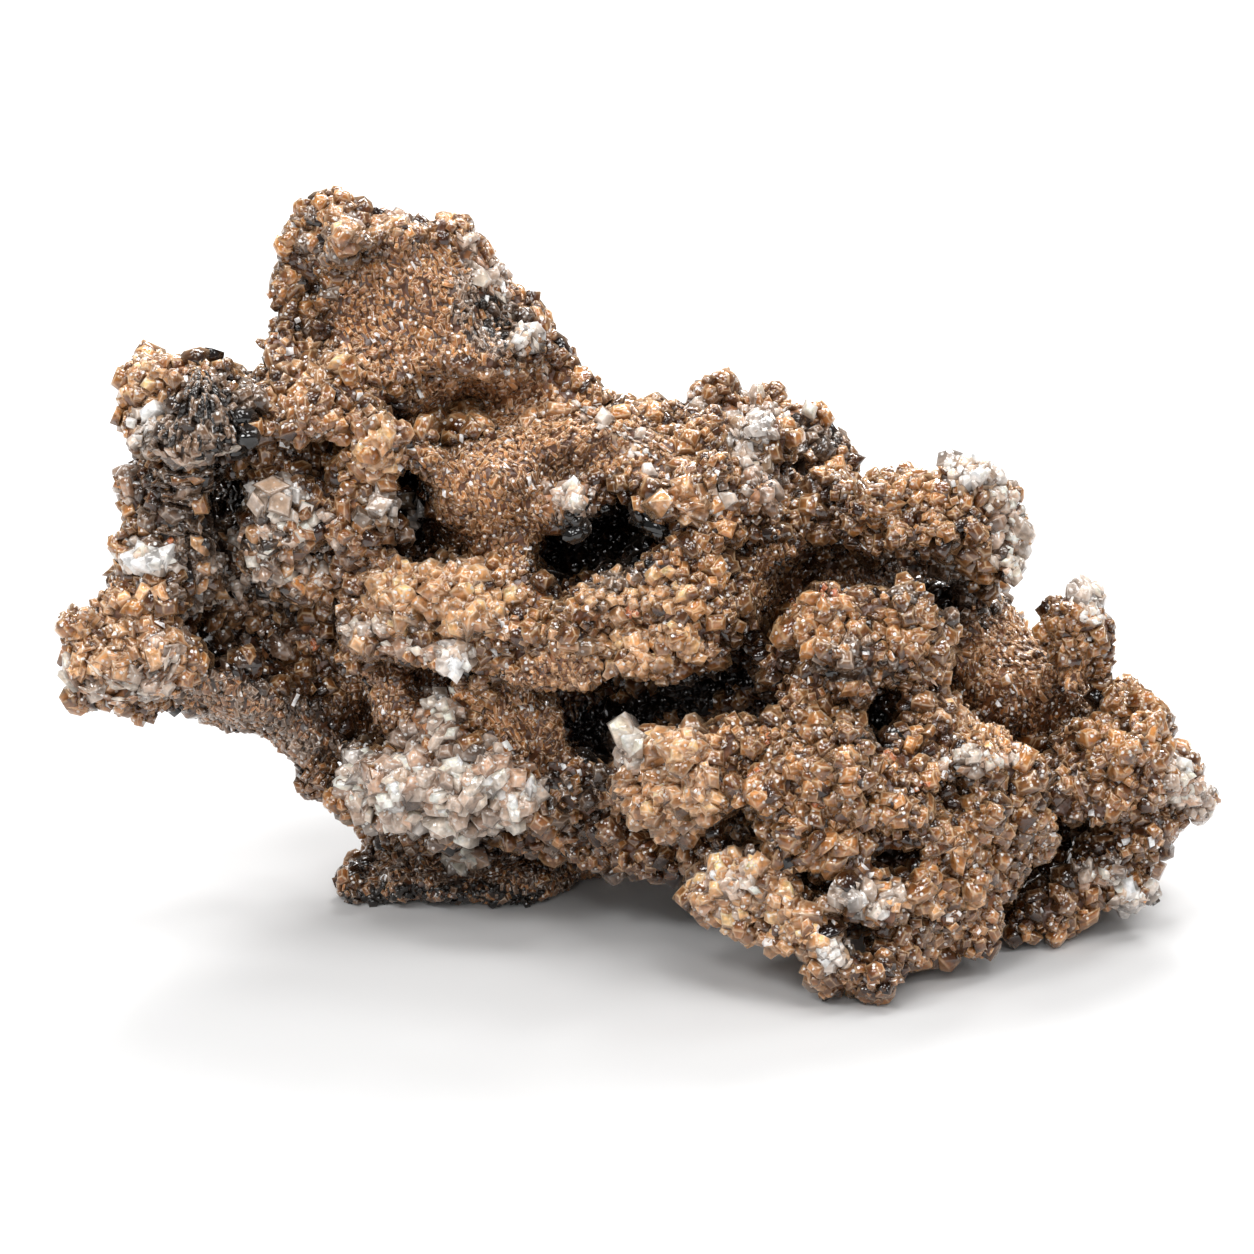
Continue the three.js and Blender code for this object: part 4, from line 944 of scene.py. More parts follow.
@dataclass(frozen=True)
class FacetGroup:
    """The shader group of tiny facets, cloudy colour, painted glints and painted edge highlights that the
    finishes share.

    Attributes:
        cloud_scale: The cloudy colour's noise to the metre.
        painted_glint_scale: The cells that may hold a painted glint to the metre.
        painted_glint: The colour of the painted glints, white dots of painted highlight.
        painted_glint_size: A painted glint's inner and outer radius, against its cell.
        rim: From where to where a face's painted edge highlight fades in, from its middle at 0 to its edge at
            0.5.
        rim_breaks: The cloudy noise under which an edge highlight is broken off, and over which it is whole.
        highlight_gamma: How much lighter the painted highlight colour is than its face.
        cloud_range: The noise that makes the cloudy colour darkest and lightest.
        dull: The lightness under which stone has no gloss and no painted highlights, and over which it has
            all of them.
        upward: How far down a face may look that has painted highlights, and from where it has all of them.
    """

    cloud_scale: float = 1500.0
    painted_glint_scale: float = 1500.0
    painted_glint: tuple[float, float, float, float] = (0.98, 0.95, 0.91, 1)
    painted_glint_size: tuple[float, float] = (0.2, 0.3)
    rim: tuple[float, float] = (0.32, 0.46)
    rim_breaks: tuple[float, float] = (0.36, 0.5)
    highlight_gamma: float = 0.38
    cloud_range: tuple[float, float] = (0.3, 0.7)
    dull: tuple[float, float] = (0.004, 0.06)
    upward: tuple[float, float] = (-0.9, 0.4)

    @staticmethod
    def sockets(tree: bpy.types.NodeTree) -> None:
        """Gives the group its named inputs and outputs.

        Args:
            tree: The group.
        """
        for name, value in (
            ("Color", None),
            ("Round", 0.5),
            ("Cell", 2500.0),
            ("Tilt", 0.4),
            ("Cloud", 0.2),
            ("PaintedGlint", 0.5),
            ("Edge", 0.5),
            ("Coat", 0.5),
        ):
            kind = "NodeSocketColor" if value is None else "NodeSocketFloat"
            socket = tree.interface.new_socket(name=name, in_out="INPUT", socket_type=kind)
            socket.default_value = (0.5, 0.5, 0.5, 1) if value is None else value
        for name, kind in (("Color", "Color"), ("PaintedHighlight", "Color"), ("Gloss", "Float"), ("Normal", "Vector")):
            tree.interface.new_socket(name=name, in_out="OUTPUT", socket_type=f"NodeSocket{kind}")

    def painted_glints(
        self, wiring: Wiring, spot: bpy.types.NodeSocket, share: bpy.types.NodeSocket
    ) -> bpy.types.NodeSocket:
        """Makes the mask of small round painted glints.

        Args:
            wiring: The group's nodes.
            spot: The place on the piece.
            share: How many cells hold a fleck.

        Returns:
            The mask.
        """
        beads = wiring.add("TexVoronoi", {"Vector": spot, "Scale": self.painted_glint_scale}).outputs
        inside = wiring.spread(beads["Distance"], self.painted_glint_size[1], self.painted_glint_size[0])
        drawn = wiring.add("SeparateColor", {0: beads["Color"]}).outputs[0]
        return wiring.value("MULTIPLY", inside, wiring.value("LESS_THAN", drawn, share))

    def edge_highlights(
        self, wiring: Wiring, noise: bpy.types.NodeSocket, share: bpy.types.NodeSocket
    ) -> bpy.types.NodeSocket:
        """Makes the mask of painted highlight lines along the faces' edges, broken here and there.

        Args:
            wiring: The group's nodes.
            noise: What breaks them.
            share: How clear they are.

        Returns:
            The mask.
        """
        face = wiring.add("UVMap", uv_map="facet").outputs[0]
        off = wiring.vector("ABSOLUTE", wiring.vector("SUBTRACT", face, (0.5, 0.5, 0.0)))
        sides = wiring.add("SeparateXYZ", {0: off}).outputs
        edge = wiring.spread(wiring.value("MAXIMUM", sides[0], sides[1]), *self.rim)
        whole = wiring.value("MULTIPLY", edge, wiring.spread(noise, *self.rim_breaks))
        return wiring.value("MULTIPLY", whole, share)

    def build(self) -> bpy.types.NodeTree:
        """Builds the group.

        Returns:
            A group with the inputs Color, Round, Cell, Tilt, Cloud, Fleck, Edge and Coat, and the outputs
            Color, Rim, Gloss and Normal.
        """
        tree = bpy.data.node_groups.new("micro_facets", "ShaderNodeTree")
        self.sockets(tree)
        wiring = Wiring(tree)
        entry = tree.nodes.new("NodeGroupInput").outputs
        leave = tree.nodes.new("NodeGroupOutput").inputs
        spot = wiring.add("TexCoord").outputs["Object"]
        geometry = wiring.add("NewGeometry").outputs
        # the direction lies between the flat face's and the rounded one, and each tiny cell leans its own way
        ends = {0: entry["Round"], 4: geometry["True Normal"], 5: geometry["Normal"]}
        facing = wiring.add("Mix", ends, data_type="VECTOR").outputs[1]
        cells = wiring.add("TexVoronoi", {"Vector": spot, "Scale": entry["Cell"]}).outputs["Color"]
        tilted = wiring.scaled(wiring.vector("SUBTRACT", cells, (0.5, 0.5, 0.5)), entry["Tilt"])
        wiring.feed(wiring.vector("NORMALIZE", wiring.vector("ADD", facing, tilted)), leave["Normal"])
        # cloudy colour
        grain = {"Vector": spot, "Scale": self.cloud_scale, "Detail": 3.0}
        noise = wiring.add("TexNoise", grain).outputs["Fac"]
        swing = wiring.spread(noise, *self.cloud_range, -1.0, 1.0)
        cloud = wiring.value("MULTIPLY_ADD", swing, entry["Cloud"], 1.0)
        tinted = wiring.scaled(entry["Color"], cloud)
        # the darkest stone is dull and has no painted highlights
        bare = wiring.add("RGBToBW", {"Color": entry["Color"]}).outputs[0]
        light = wiring.spread(bare, *self.dull)
        wiring.feed(wiring.value("MULTIPLY", light, entry["Coat"]), leave["Gloss"])
        # the painted glints and edge highlights lie mostly on what faces up, towards the lamps above
        height = wiring.add("SeparateXYZ", {0: geometry["Normal"]}).outputs["Z"]
        upward = wiring.spread(height, *self.upward)
        painted_glint, rim = (
            wiring.value("MULTIPLY", wiring.value("MULTIPLY", mask, upward), light)
            for mask in (self.painted_glints(wiring, spot, entry["PaintedGlint"]), self.edge_highlights(wiring, noise, entry["Edge"]))
        )
        # the painted highlight colour: the face's colour made lighter, for the edge lines and the sheen
        highlight_colour = wiring.add("Gamma", {"Color": tinted, "Gamma": self.highlight_gamma}).outputs[0]
        wiring.feed(highlight_colour, leave["PaintedHighlight"])
        edged = wiring.blended(rim, tinted, highlight_colour)
        wiring.feed(wiring.blended(painted_glint, edged, self.painted_glint), leave["Color"])
        return tree


# How narrow the painted sheen is that a crystal has where it is seen edge on.
RIM_NARROWNESS = 2.6


@dataclass(frozen=True)
class Finish:
    """What a piece is made of: clear crystal, where nothing else is said.

    Attributes:
        name: The material's name.
        roughness: The roughness of its faces.
        transmission: How much of the light goes through it.
        tilt: How far its tiny facets lean.
        cloud: How uneven its colour is.
        painted_glint: The share of its small cells that hold a painted glint.
        edge: How clearly painted highlight lines run along its edges, from 0 to 1.
        coat: How strongly its polish shines, from 0 to 1.
        round: How rounded its faces look, from 0 to 1.
        rim: How much a painted sheen lightens it where it is seen edge on, from 0 to 1.
        cell: Tiny facets to the metre.
        ior: How strongly it bends light.
    """

    name: str
    roughness: float = 0.05
    transmission: float = 0.3
    tilt: float = 0.12
    cloud: float = 0.4
    painted_glint: float = 0.9
    edge: float = 0.6
    coat: float = 0.45
    round: float = 0.6
    rim: float = 0.8
    cell: float = 2400.0
    ior: float = 1.64

    def material(self, group: bpy.types.NodeTree) -> bpy.types.Material:
        """Builds the material.

        Args:
            group: The shared facet group.

        Returns:
            The material.
        """
        material = bpy.data.materials.new(self.name)
        material.use_nodes = True
        wiring = Wiring(material.node_tree)
        shader = material.node_tree.nodes["Principled BSDF"].inputs
        shader["Roughness"].default_value = self.roughness
        shader["Transmission Weight"].default_value = self.transmission
        shader["IOR"].default_value = self.ior
        tint = wiring.add("Attribute", attribute_name="tint").outputs["Color"]
        facets = wiring.add("Group", node_tree=group)
        for name, value in (
            ("Color", tint),
            ("Round", self.round),
            ("Cell", self.cell),
            ("Tilt", self.tilt),
            ("Cloud", self.cloud),
            ("PaintedGlint", self.painted_glint),
            ("Edge", self.edge),
            ("Coat", self.coat),
        ):
            wiring.feed(value, facets.inputs[name])
        made = facets.outputs
        wiring.feed(made["Gloss"], shader["Coat Weight"])
        wiring.feed(made["Normal"], shader["Normal"])
        # a painted sheen: where a face is seen edge on, its colour goes towards the painted highlight colour
        aslant = wiring.add("LayerWeight", {"Blend": 0.5, "Normal": made["Normal"]}).outputs["Facing"]
        narrow = wiring.value("POWER", aslant, RIM_NARROWNESS)
        share = wiring.value("MULTIPLY", narrow, self.rim)
        wiring.feed(wiring.blended(share, made["Color"], made["PaintedHighlight"]), shader["Base Color"])
        return material


# Sub-assemblies


# How light the stone and the single crystals are painted in a closed hollow, against in the open: painted
# shade.
LEAST_LIGHT = 0.55

# How unevenly light the stone is, and how wide its speckles are in millimetres.
SPECKLE = 0.12
SPECKLE_LENGTH = 0.9


@dataclass
class StoneBody:
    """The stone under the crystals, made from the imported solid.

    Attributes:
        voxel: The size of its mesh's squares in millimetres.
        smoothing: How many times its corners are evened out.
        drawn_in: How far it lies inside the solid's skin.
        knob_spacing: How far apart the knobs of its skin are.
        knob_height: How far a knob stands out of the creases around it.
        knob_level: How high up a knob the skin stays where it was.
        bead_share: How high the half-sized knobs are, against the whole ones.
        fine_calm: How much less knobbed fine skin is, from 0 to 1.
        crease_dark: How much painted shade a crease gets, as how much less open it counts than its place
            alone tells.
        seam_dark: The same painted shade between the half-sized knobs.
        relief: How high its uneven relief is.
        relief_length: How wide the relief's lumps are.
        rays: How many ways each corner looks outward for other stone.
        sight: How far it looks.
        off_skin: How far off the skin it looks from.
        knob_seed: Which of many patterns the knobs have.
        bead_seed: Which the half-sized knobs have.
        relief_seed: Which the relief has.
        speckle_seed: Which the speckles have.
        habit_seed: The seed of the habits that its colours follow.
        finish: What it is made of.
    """

    voxel: float = 0.77
    smoothing: int = 3
    drawn_in: float = 0.6
    knob_spacing: float = 4.4
    knob_height: float = 2.1
    knob_level: float = 0.72
    bead_share: float = 0.45
    fine_calm: float = 0.8
    crease_dark: float = 0.45
    seam_dark: float = 0.25
    relief: float = 0.3
    relief_length: float = 1.9
    rays: int = 8
    sight: float = 12.0
    off_skin: float = 0.5
    knob_seed: int = 21
    bead_seed: int = 22
    relief_seed: int = 12
    speckle_seed: int = 13
    habit_seed: int = 3
    finish: Finish = Finish(
        "stone", roughness=0.3, transmission=0.0, tilt=0.7, cloud=0.3, painted_glint=0.4, edge=0.0, coat=0.3,
        round=1.0, rim=0.2, cell=2200.0,
    )
    skin: Skin | None = field(default=None, init=False)

    def remeshed(self) -> tuple[Array, Array]:
        """Gives the solid's surface as even squares.

        Returns:
            The corners in millimetres and the faces.
        """
        copy = bpy.data.objects.new("fine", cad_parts[NODE].data.copy())
        bpy.context.scene.collection.objects.link(copy)
        modifier = copy.modifiers.new("even", "REMESH")
        modifier.mode = "VOXEL"
        modifier.voxel_size = self.voxel * MM
        bpy.context.view_layer.update()
        whole = copy.evaluated_get(bpy.context.evaluated_depsgraph_get())
        mesh = bpy.data.meshes.new_from_object(whole)
        corners = np.empty(len(mesh.vertices) * 3, np.float32)
        mesh.vertices.foreach_get("co", corners)
        loops = np.empty(len(mesh.loops), np.int32)
        mesh.loops.foreach_get("vertex_index", loops)
        bpy.data.objects.remove(copy)
        bpy.data.meshes.remove(mesh)
        return corners.reshape(-1, 3).astype(float) / MM, loops.reshape(-1, 4)

    @staticmethod
    def evened(corners: Array, quads: Array, rounds: int) -> Array:
        """Moves each corner halfway to the middle of its neighbours, some rounds over.

        Args:
            corners: The corners.
            quads: The faces.
            rounds: How many rounds.

        Returns:
            The moved corners.
        """
        a = quads.ravel()
        b = np.roll(quads, -1, axis=1).ravel()
        many = len(corners)
        count = np.bincount(a, minlength=many) + np.bincount(b, minlength=many)
        for _ in range(rounds):
            sums = [np.bincount(a, way[b], many) + np.bincount(b, way[a], many) for way in corners.T]
            corners = 0.5 * corners + 0.5 * np.stack(sums, axis=1) / count[:, None]
        return corners

    @staticmethod
    def outward(corners: Array, quads: Array) -> Array:
        """Gives the outward direction at each corner.

        Args:
            corners: The corners.
            quads: The faces.

        Returns:
            An (n, 3) array of directions.
        """
        across = corners[quads[:, 2]] - corners[quads[:, 0]]
        along = corners[quads[:, 3]] - corners[quads[:, 1]]
        faces = np.repeat(np.cross(across, along), 4, axis=0)
        total = np.stack([np.bincount(quads.ravel(), way, len(corners)) for way in faces.T], axis=1)
        return total / np.maximum(np.linalg.norm(total, axis=1), 1e-12)[:, None]

    def openness(self, corners: Array, quads: Array, normals: Array) -> Array:
        """Gives how open each corner's place is, which sets the painted shade.

        Args:
            corners: The corners.
            quads: The faces.
            normals: The outward directions.

        Returns:
            From 0 in a closed hollow to 1 where no other stone is near.
        """
        tree = BVHTree.FromPolygons(corners.tolist(), quads.tolist())
        turn = np.arange(self.rays) * GOLDEN_ANGLE
        flat = np.sqrt((np.arange(self.rays) + 0.5) / self.rays)
        side = np.cross(normals, np.where(np.abs(normals[:, :1]) < 0.6, [[1.0, 0, 0]], [[0, 1.0, 0]]))
        side /= np.linalg.norm(side, axis=1)[:, None]
        other = np.cross(normals, side)
        seen = np.zeros(len(corners))
        starts = corners + normals * self.off_skin
        for angle, far in zip(turn, flat):
            ways = side * (far * math.cos(angle)) + other * (far * math.sin(angle))
            ways += normals * math.sqrt(1 - far * far)
            for i, (start, way) in enumerate(zip(starts.tolist(), ways.tolist())):
                if tree.ray_cast(start, way, self.sight)[0] is None:
                    seen[i] += 1
        return seen / self.rays

    def build(self, garden: Garden) -> bpy.types.Mesh:
        """Makes the stone's mesh and keeps its skin for the crystals.

        Args:
            garden: Which habit grows where.

        Returns:
            The mesh.
        """
        corners, quads = self.remeshed()
        corners = self.evened(corners, quads, self.smoothing)
        normals = self.outward(corners, quads)
        rough = 1 - self.fine_calm * garden.fineness(corners)
        knob, crease = domes(corners, self.knob_spacing, self.knob_seed)
        bead, seam = domes(corners, self.knob_spacing / 2, self.bead_seed)
        height = self.relief * drift(corners, self.relief_length, self.relief_seed) - self.drawn_in
        lumps = (knob - self.knob_level) + self.bead_share * (bead - self.knob_level)
        height += rough * self.knob_height * lumps
        corners = corners + normals * height[:, None]
        corners[:, 2] = np.maximum(corners[:, 2], 0)
        normals = self.outward(corners, quads)
        shade = self.openness(corners, quads, normals)
        # creases and seams between the knobs count as less open, for more painted shade
        shade = shade * (1 - rough * (self.crease_dark * crease**2 + self.seam_dark * seam**2))
        triangles = np.concatenate([quads[:, [0, 1, 2]], quads[:, [0, 2, 3]]])
        self.skin = Skin(corners, triangles, normals, shade)
        mesh = quad_mesh("stone_body", corners * MM, quads)
        picked = garden.habits_at(corners, self.habit_seed)
        speckles = drift(corners, SPECKLE_LENGTH, self.speckle_seed)
        # the stone is painted darker where its place is closed, as painted shade, and speckled at random
        lightness = blend(LEAST_LIGHT, 1, shade) + SPECKLE * speckles
        paint(mesh, garden.stone[picked] * lightness[:, None])
        return mesh

    def dress(self, mesh: bpy.types.Mesh, group: bpy.types.NodeTree) -> bpy.types.Object:
        """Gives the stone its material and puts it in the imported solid's place.

        Args:
            mesh: The stone's mesh.
            group: The shared facet group.

        Returns:
            The piece.
        """
        piece = place(mesh, self.finish.material(group), Slot.DARK)
        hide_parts(NODE)
        return piece


# How much farther than their patches the fine crystals spread, and the share of coarse ones in pale skin.
FINE_SPREAD = 1.3
PALE_COARSE = 0.5


class Where(Enum):
    """Which part of the skin a sowing takes."""

    FINE = "fine"
    ROUGH = "rough"
    CLEAR = "clear"

    def takes(self, lot: Array, fine: Array, clear: Array) -> Array:
        """Says which places a sowing takes.

        Args:
            lot: A value from 0 to 1 for each place.
            fine: How fine the skin is there.
            clear: Whether its habit is a clear one.

        Returns:
            A mask.
        """
        if self is Where.FINE:
            return (lot < fine * FINE_SPREAD) & ~clear
        if self is Where.ROUGH:
            return (lot > fine) & (~clear | (lot < PALE_COARSE))
        return clear


@dataclass(frozen=True)
class Sowing:
    """One size of crystal that is sown over the skin.

    Attributes:
        form: The crystals' shape.
        spacing: How far apart they are in millimetres.
        least: Their least radius.
        most: Their greatest radius.
        where: Which part of the skin they take.
        seed: The seed of their lots.
        lean: How far they lean from straight out, as a spread in radians.
        glint: The share of their upper faces that are painted white as a glint.
        stretch: How long they are down the slope against their width.
    """

    form: Form
    spacing: float
    least: float
    most: float
    where: Where
    seed: int
    lean: float = 0.45
    glint: float = 0.07
    stretch: float = 1.0


# A hair's breadth in millimetres, so that the nearest corner itself is always found.
HAIR = 0.01


class Ground:
    """The side of the skin that is seen, where single crystals are set."""

    def __init__(self, skin: Skin, standpoint: Standpoint, reach: float = 0.7) -> None:
        """Flattens the skin once.

        Args:
            skin: What the crystals are set on.
            standpoint: Where the piece is looked at from.
            reach: How far from a place in the view its skin is looked for, in millimetres.
        """
        self.skin = skin
        self.standpoint = standpoint
        self.reach = reach
        self.across, self.rise = standpoint.flatten(skin.corners)
        self.depth = skin.corners @ standpoint.axes()[2]

    def at(self, places: Array) -> Array:
        """Finds the skin's nearest corner to the eye at each place.

        Args:
            places: An (n, 2) array of places across and up the view.

        Returns:
            The corners' numbers.
        """
        found = []
        for across, rise in places:
            away = np.hypot(self.across - across, self.rise - rise)
            near = np.flatnonzero(away < max(self.reach, away.min() + HAIR))
            found.append(near[np.argmin(self.depth[near])])
        return np.array(found)


# The darkest that a crystal set one by one may be, between its habit's darkest and lightest.
LEAST_TONE = 0.15


def toned(habit: Habit, shade: Array, rng: np.random.Generator) -> Array:
    """Gives crystals of one habit their colours, at random and with painted shade in closed places.

    Args:
        habit: The habit.
        shade: How open each crystal's place is.
        rng: Where the lots come from.

    Returns:
        An (n, 3) array of colours.
    """
    tint = TINTS[habit]
    tone = blend(LEAST_TONE, 1, rng.random(len(shade)))[:, None]
    return blend(np.array(tint.low), np.array(tint.high), tone) * blend(LEAST_LIGHT, 1, shade)[:, None]


# How much commoner small crystals are than large ones in a cluster: 1 is as common.
SMALLNESS = 1.6

# The least and most that a crystal's sides differ from its size, in a cluster and in a row.
CLUSTER_SIDES = (0.75, 1.25)
ROW_SIDES = (0.8, 1.2)


@dataclass(frozen=True)
class Cluster:
    """Larger crystals crowded in an oval of the front.

    Attributes:
        habit: Their kind.
        across: The oval's middle, in millimetres to the right of the view's middle.
        rise: Its middle, in millimetres up the view.
        half_width: Half its width.
        half_height: Half its height.
        count: How many crystals there are.
        least: Their least radius.
        most: Their greatest radius.
        form: Their shape.
        flat: How thin they are against their width.
        lean: How far they lean from straight out, as a spread in radians.
        lift: How far they stand out, in radii.
    """

    habit: Habit
    across: float
    rise: float
    half_width: float
    half_height: float
    count: int
    least: float
    most: float
    form: Form = PRISM
    flat: float = 1.0
    lean: float = 0.5
    lift: float = 0.15

    def crop(self, ground: Ground, rng: np.random.Generator) -> Crop:
        """Grows the cluster.

        Args:
            ground: The side of the skin that is seen.
            rng: Where the lots come from.

        Returns:
            The crystals.
        """
        turn = rng.random(self.count) * 2 * math.pi
        far = np.sqrt(rng.random(self.count))
        across = self.across + self.half_width * far * np.cos(turn)
        rise = self.rise + self.half_height * far * np.sin(turn)
        found = ground.at(np.stack([across, rise], axis=1))
        normals = ground.skin.normals[found]
        size = blend(self.least, self.most, rng.random(self.count) ** SMALLNESS)
        sizes = size[:, None] * rng.uniform(*CLUSTER_SIDES, (self.count, 3))
        sizes[:, 2] *= self.flat
        centres = ground.skin.corners[found] + normals * (size * self.lift)[:, None]
        tints = toned(self.habit, ground.skin.shade[found], rng)
        return Crop(self.form, centres, turns(normals, self.lean, rng), sizes, tints)


# How far ahead and back a row's heading is taken from, in millimetres.
ROW_LOOK = 0.5


@dataclass(frozen=True)
class Row:
    """Thin crystals side by side along a line on the front.

    Attributes:
        habit: Their kind.
        path: The line's places across and up the view.
        step: How far apart they are.
        length: Half a crystal's length along the line.
        thickness: Half its thickness.
        height: Half of how far it stands out.
        form: Their shape.
        lean: How far they lean from straight out, as a spread in radians.
    """

    habit: Habit
    path: tuple[tuple[float, float], ...]
    step: float
    length: float
    thickness: float
    height: float
    form: Form
    lean: float = 0.12

    def spots(self, marks: Array) -> Array:
        """Gives the places at some lengths along the line.

        Args:
            marks: The lengths.

        Returns:
            An (n, 2) array of places across and up the view.
        """
        path = np.array(self.path, float)
        legs = np.linalg.norm(np.diff(path, axis=0), axis=1)
        along = np.concatenate([[0], np.cumsum(legs)])
        return np.stack([np.interp(marks, along, way) for way in path.T], axis=1)

    def crop(self, ground: Ground, rng: np.random.Generator) -> Crop:
        """Grows the row.

        Args:
            ground: The side of the skin that is seen.
            rng: Where the lots come from.

        Returns:
            The crystals.
        """
        length = sum(math.dist(start, end) for start, end in zip(self.path, self.path[1:]))
        marks = np.arange(0, length, self.step)
        heading = self.spots(marks + ROW_LOOK) - self.spots(marks - ROW_LOOK)
        right, up, _ = ground.standpoint.axes()
        x = heading[:, :1] * right + heading[:, 1:] * up
        found = ground.at(self.spots(marks))
        z = ground.skin.normals[found] + rng.normal(0, self.lean, (len(found), 3))
        x -= z * ((x * z).sum(axis=1) / (z * z).sum(axis=1))[:, None]
        x /= np.linalg.norm(x, axis=1)[:, None]
        z /= np.linalg.norm(z, axis=1)[:, None]
        sizes = np.array([self.length, self.thickness, self.height])
        sizes = sizes * rng.uniform(*ROW_SIDES, (len(found), 3))
        centres = ground.skin.corners[found] + z * (self.height / 2)
        tints = toned(self.habit, ground.skin.shade[found], rng)
        return Crop(self.form, centres, np.stack([x, np.cross(z, x), z], axis=2), sizes, tints)


@dataclass(frozen=True)
class Nub:
    """A small lump that hangs under the skin's edge.

    Attributes:
        habit: Its kind.
        across: Where it hangs, in millimetres to the right of the view's middle.
        rise: Where it hangs, in millimetres up the view.
        drop: How far it hangs down.
        radius: Half its thickness.
        count: How many crystals it is made of.
        least: Their least radius.
        most: Their greatest radius.
        crowding: How they crowd: at 1/3 evenly, lower towards its skin, higher towards its middle.
        openness: How open a crystal's place counts as at most, for its painted shade.
        lean: How far they lean from straight out, as a spread in radians.
    """

    habit: Habit
    across: float
    rise: float
    drop: float
    radius: float
    count: int
    least: float = 0.4
    most: float = 0.8
    crowding: float = 0.4
    openness: float = 0.8
    lean: float = 0.5

    def crop(self, ground: Ground, rng: np.random.Generator) -> Crop:
        """Grows the lump.

        Args:
            ground: The side of the skin that is seen.
            rng: Where the lots come from.

        Returns:
            The crystals.
        """
        top = ground.skin.corners[ground.at(np.array([[self.across, self.rise]]))[0]]
        way = rng.normal(size=(self.count, 3))
        way /= np.linalg.norm(way, axis=1)[:, None]
        far = rng.random(self.count) ** self.crowding
        span = np.array([self.radius, self.radius, self.drop / 2 + 1])
        centres = top + np.array([0, self.radius, -self.drop / 2]) + way * far[:, None] * span
        sizes = rng.uniform(self.least, self.most, (self.count, 3))
        tints = toned(self.habit, rng.random(self.count) * self.openness, rng)
        return Crop(BLOCK, centres, turns(way, self.lean, rng), sizes, tints)


# Lines across the front that rows of crystals follow, across and up the view.
FAN_APEX = (-42.3, 25.4)
FAN_FEET = tuple((-46.8 + 1.35 * i, 18.3 - 0.5 * math.sin(i * 0.45)) for i in range(8))
FAN_LIP = ((-46.8, 17.6), (-44.6, 16.6), (-42.4, 16.3), (-40, 17), (-38, 18.2))
WING_RIM = ((-56, -3), (-54.6, -6), (-51.4, -7.4), (-48, -7.2), (-45.4, -5), (-44.4, -2))

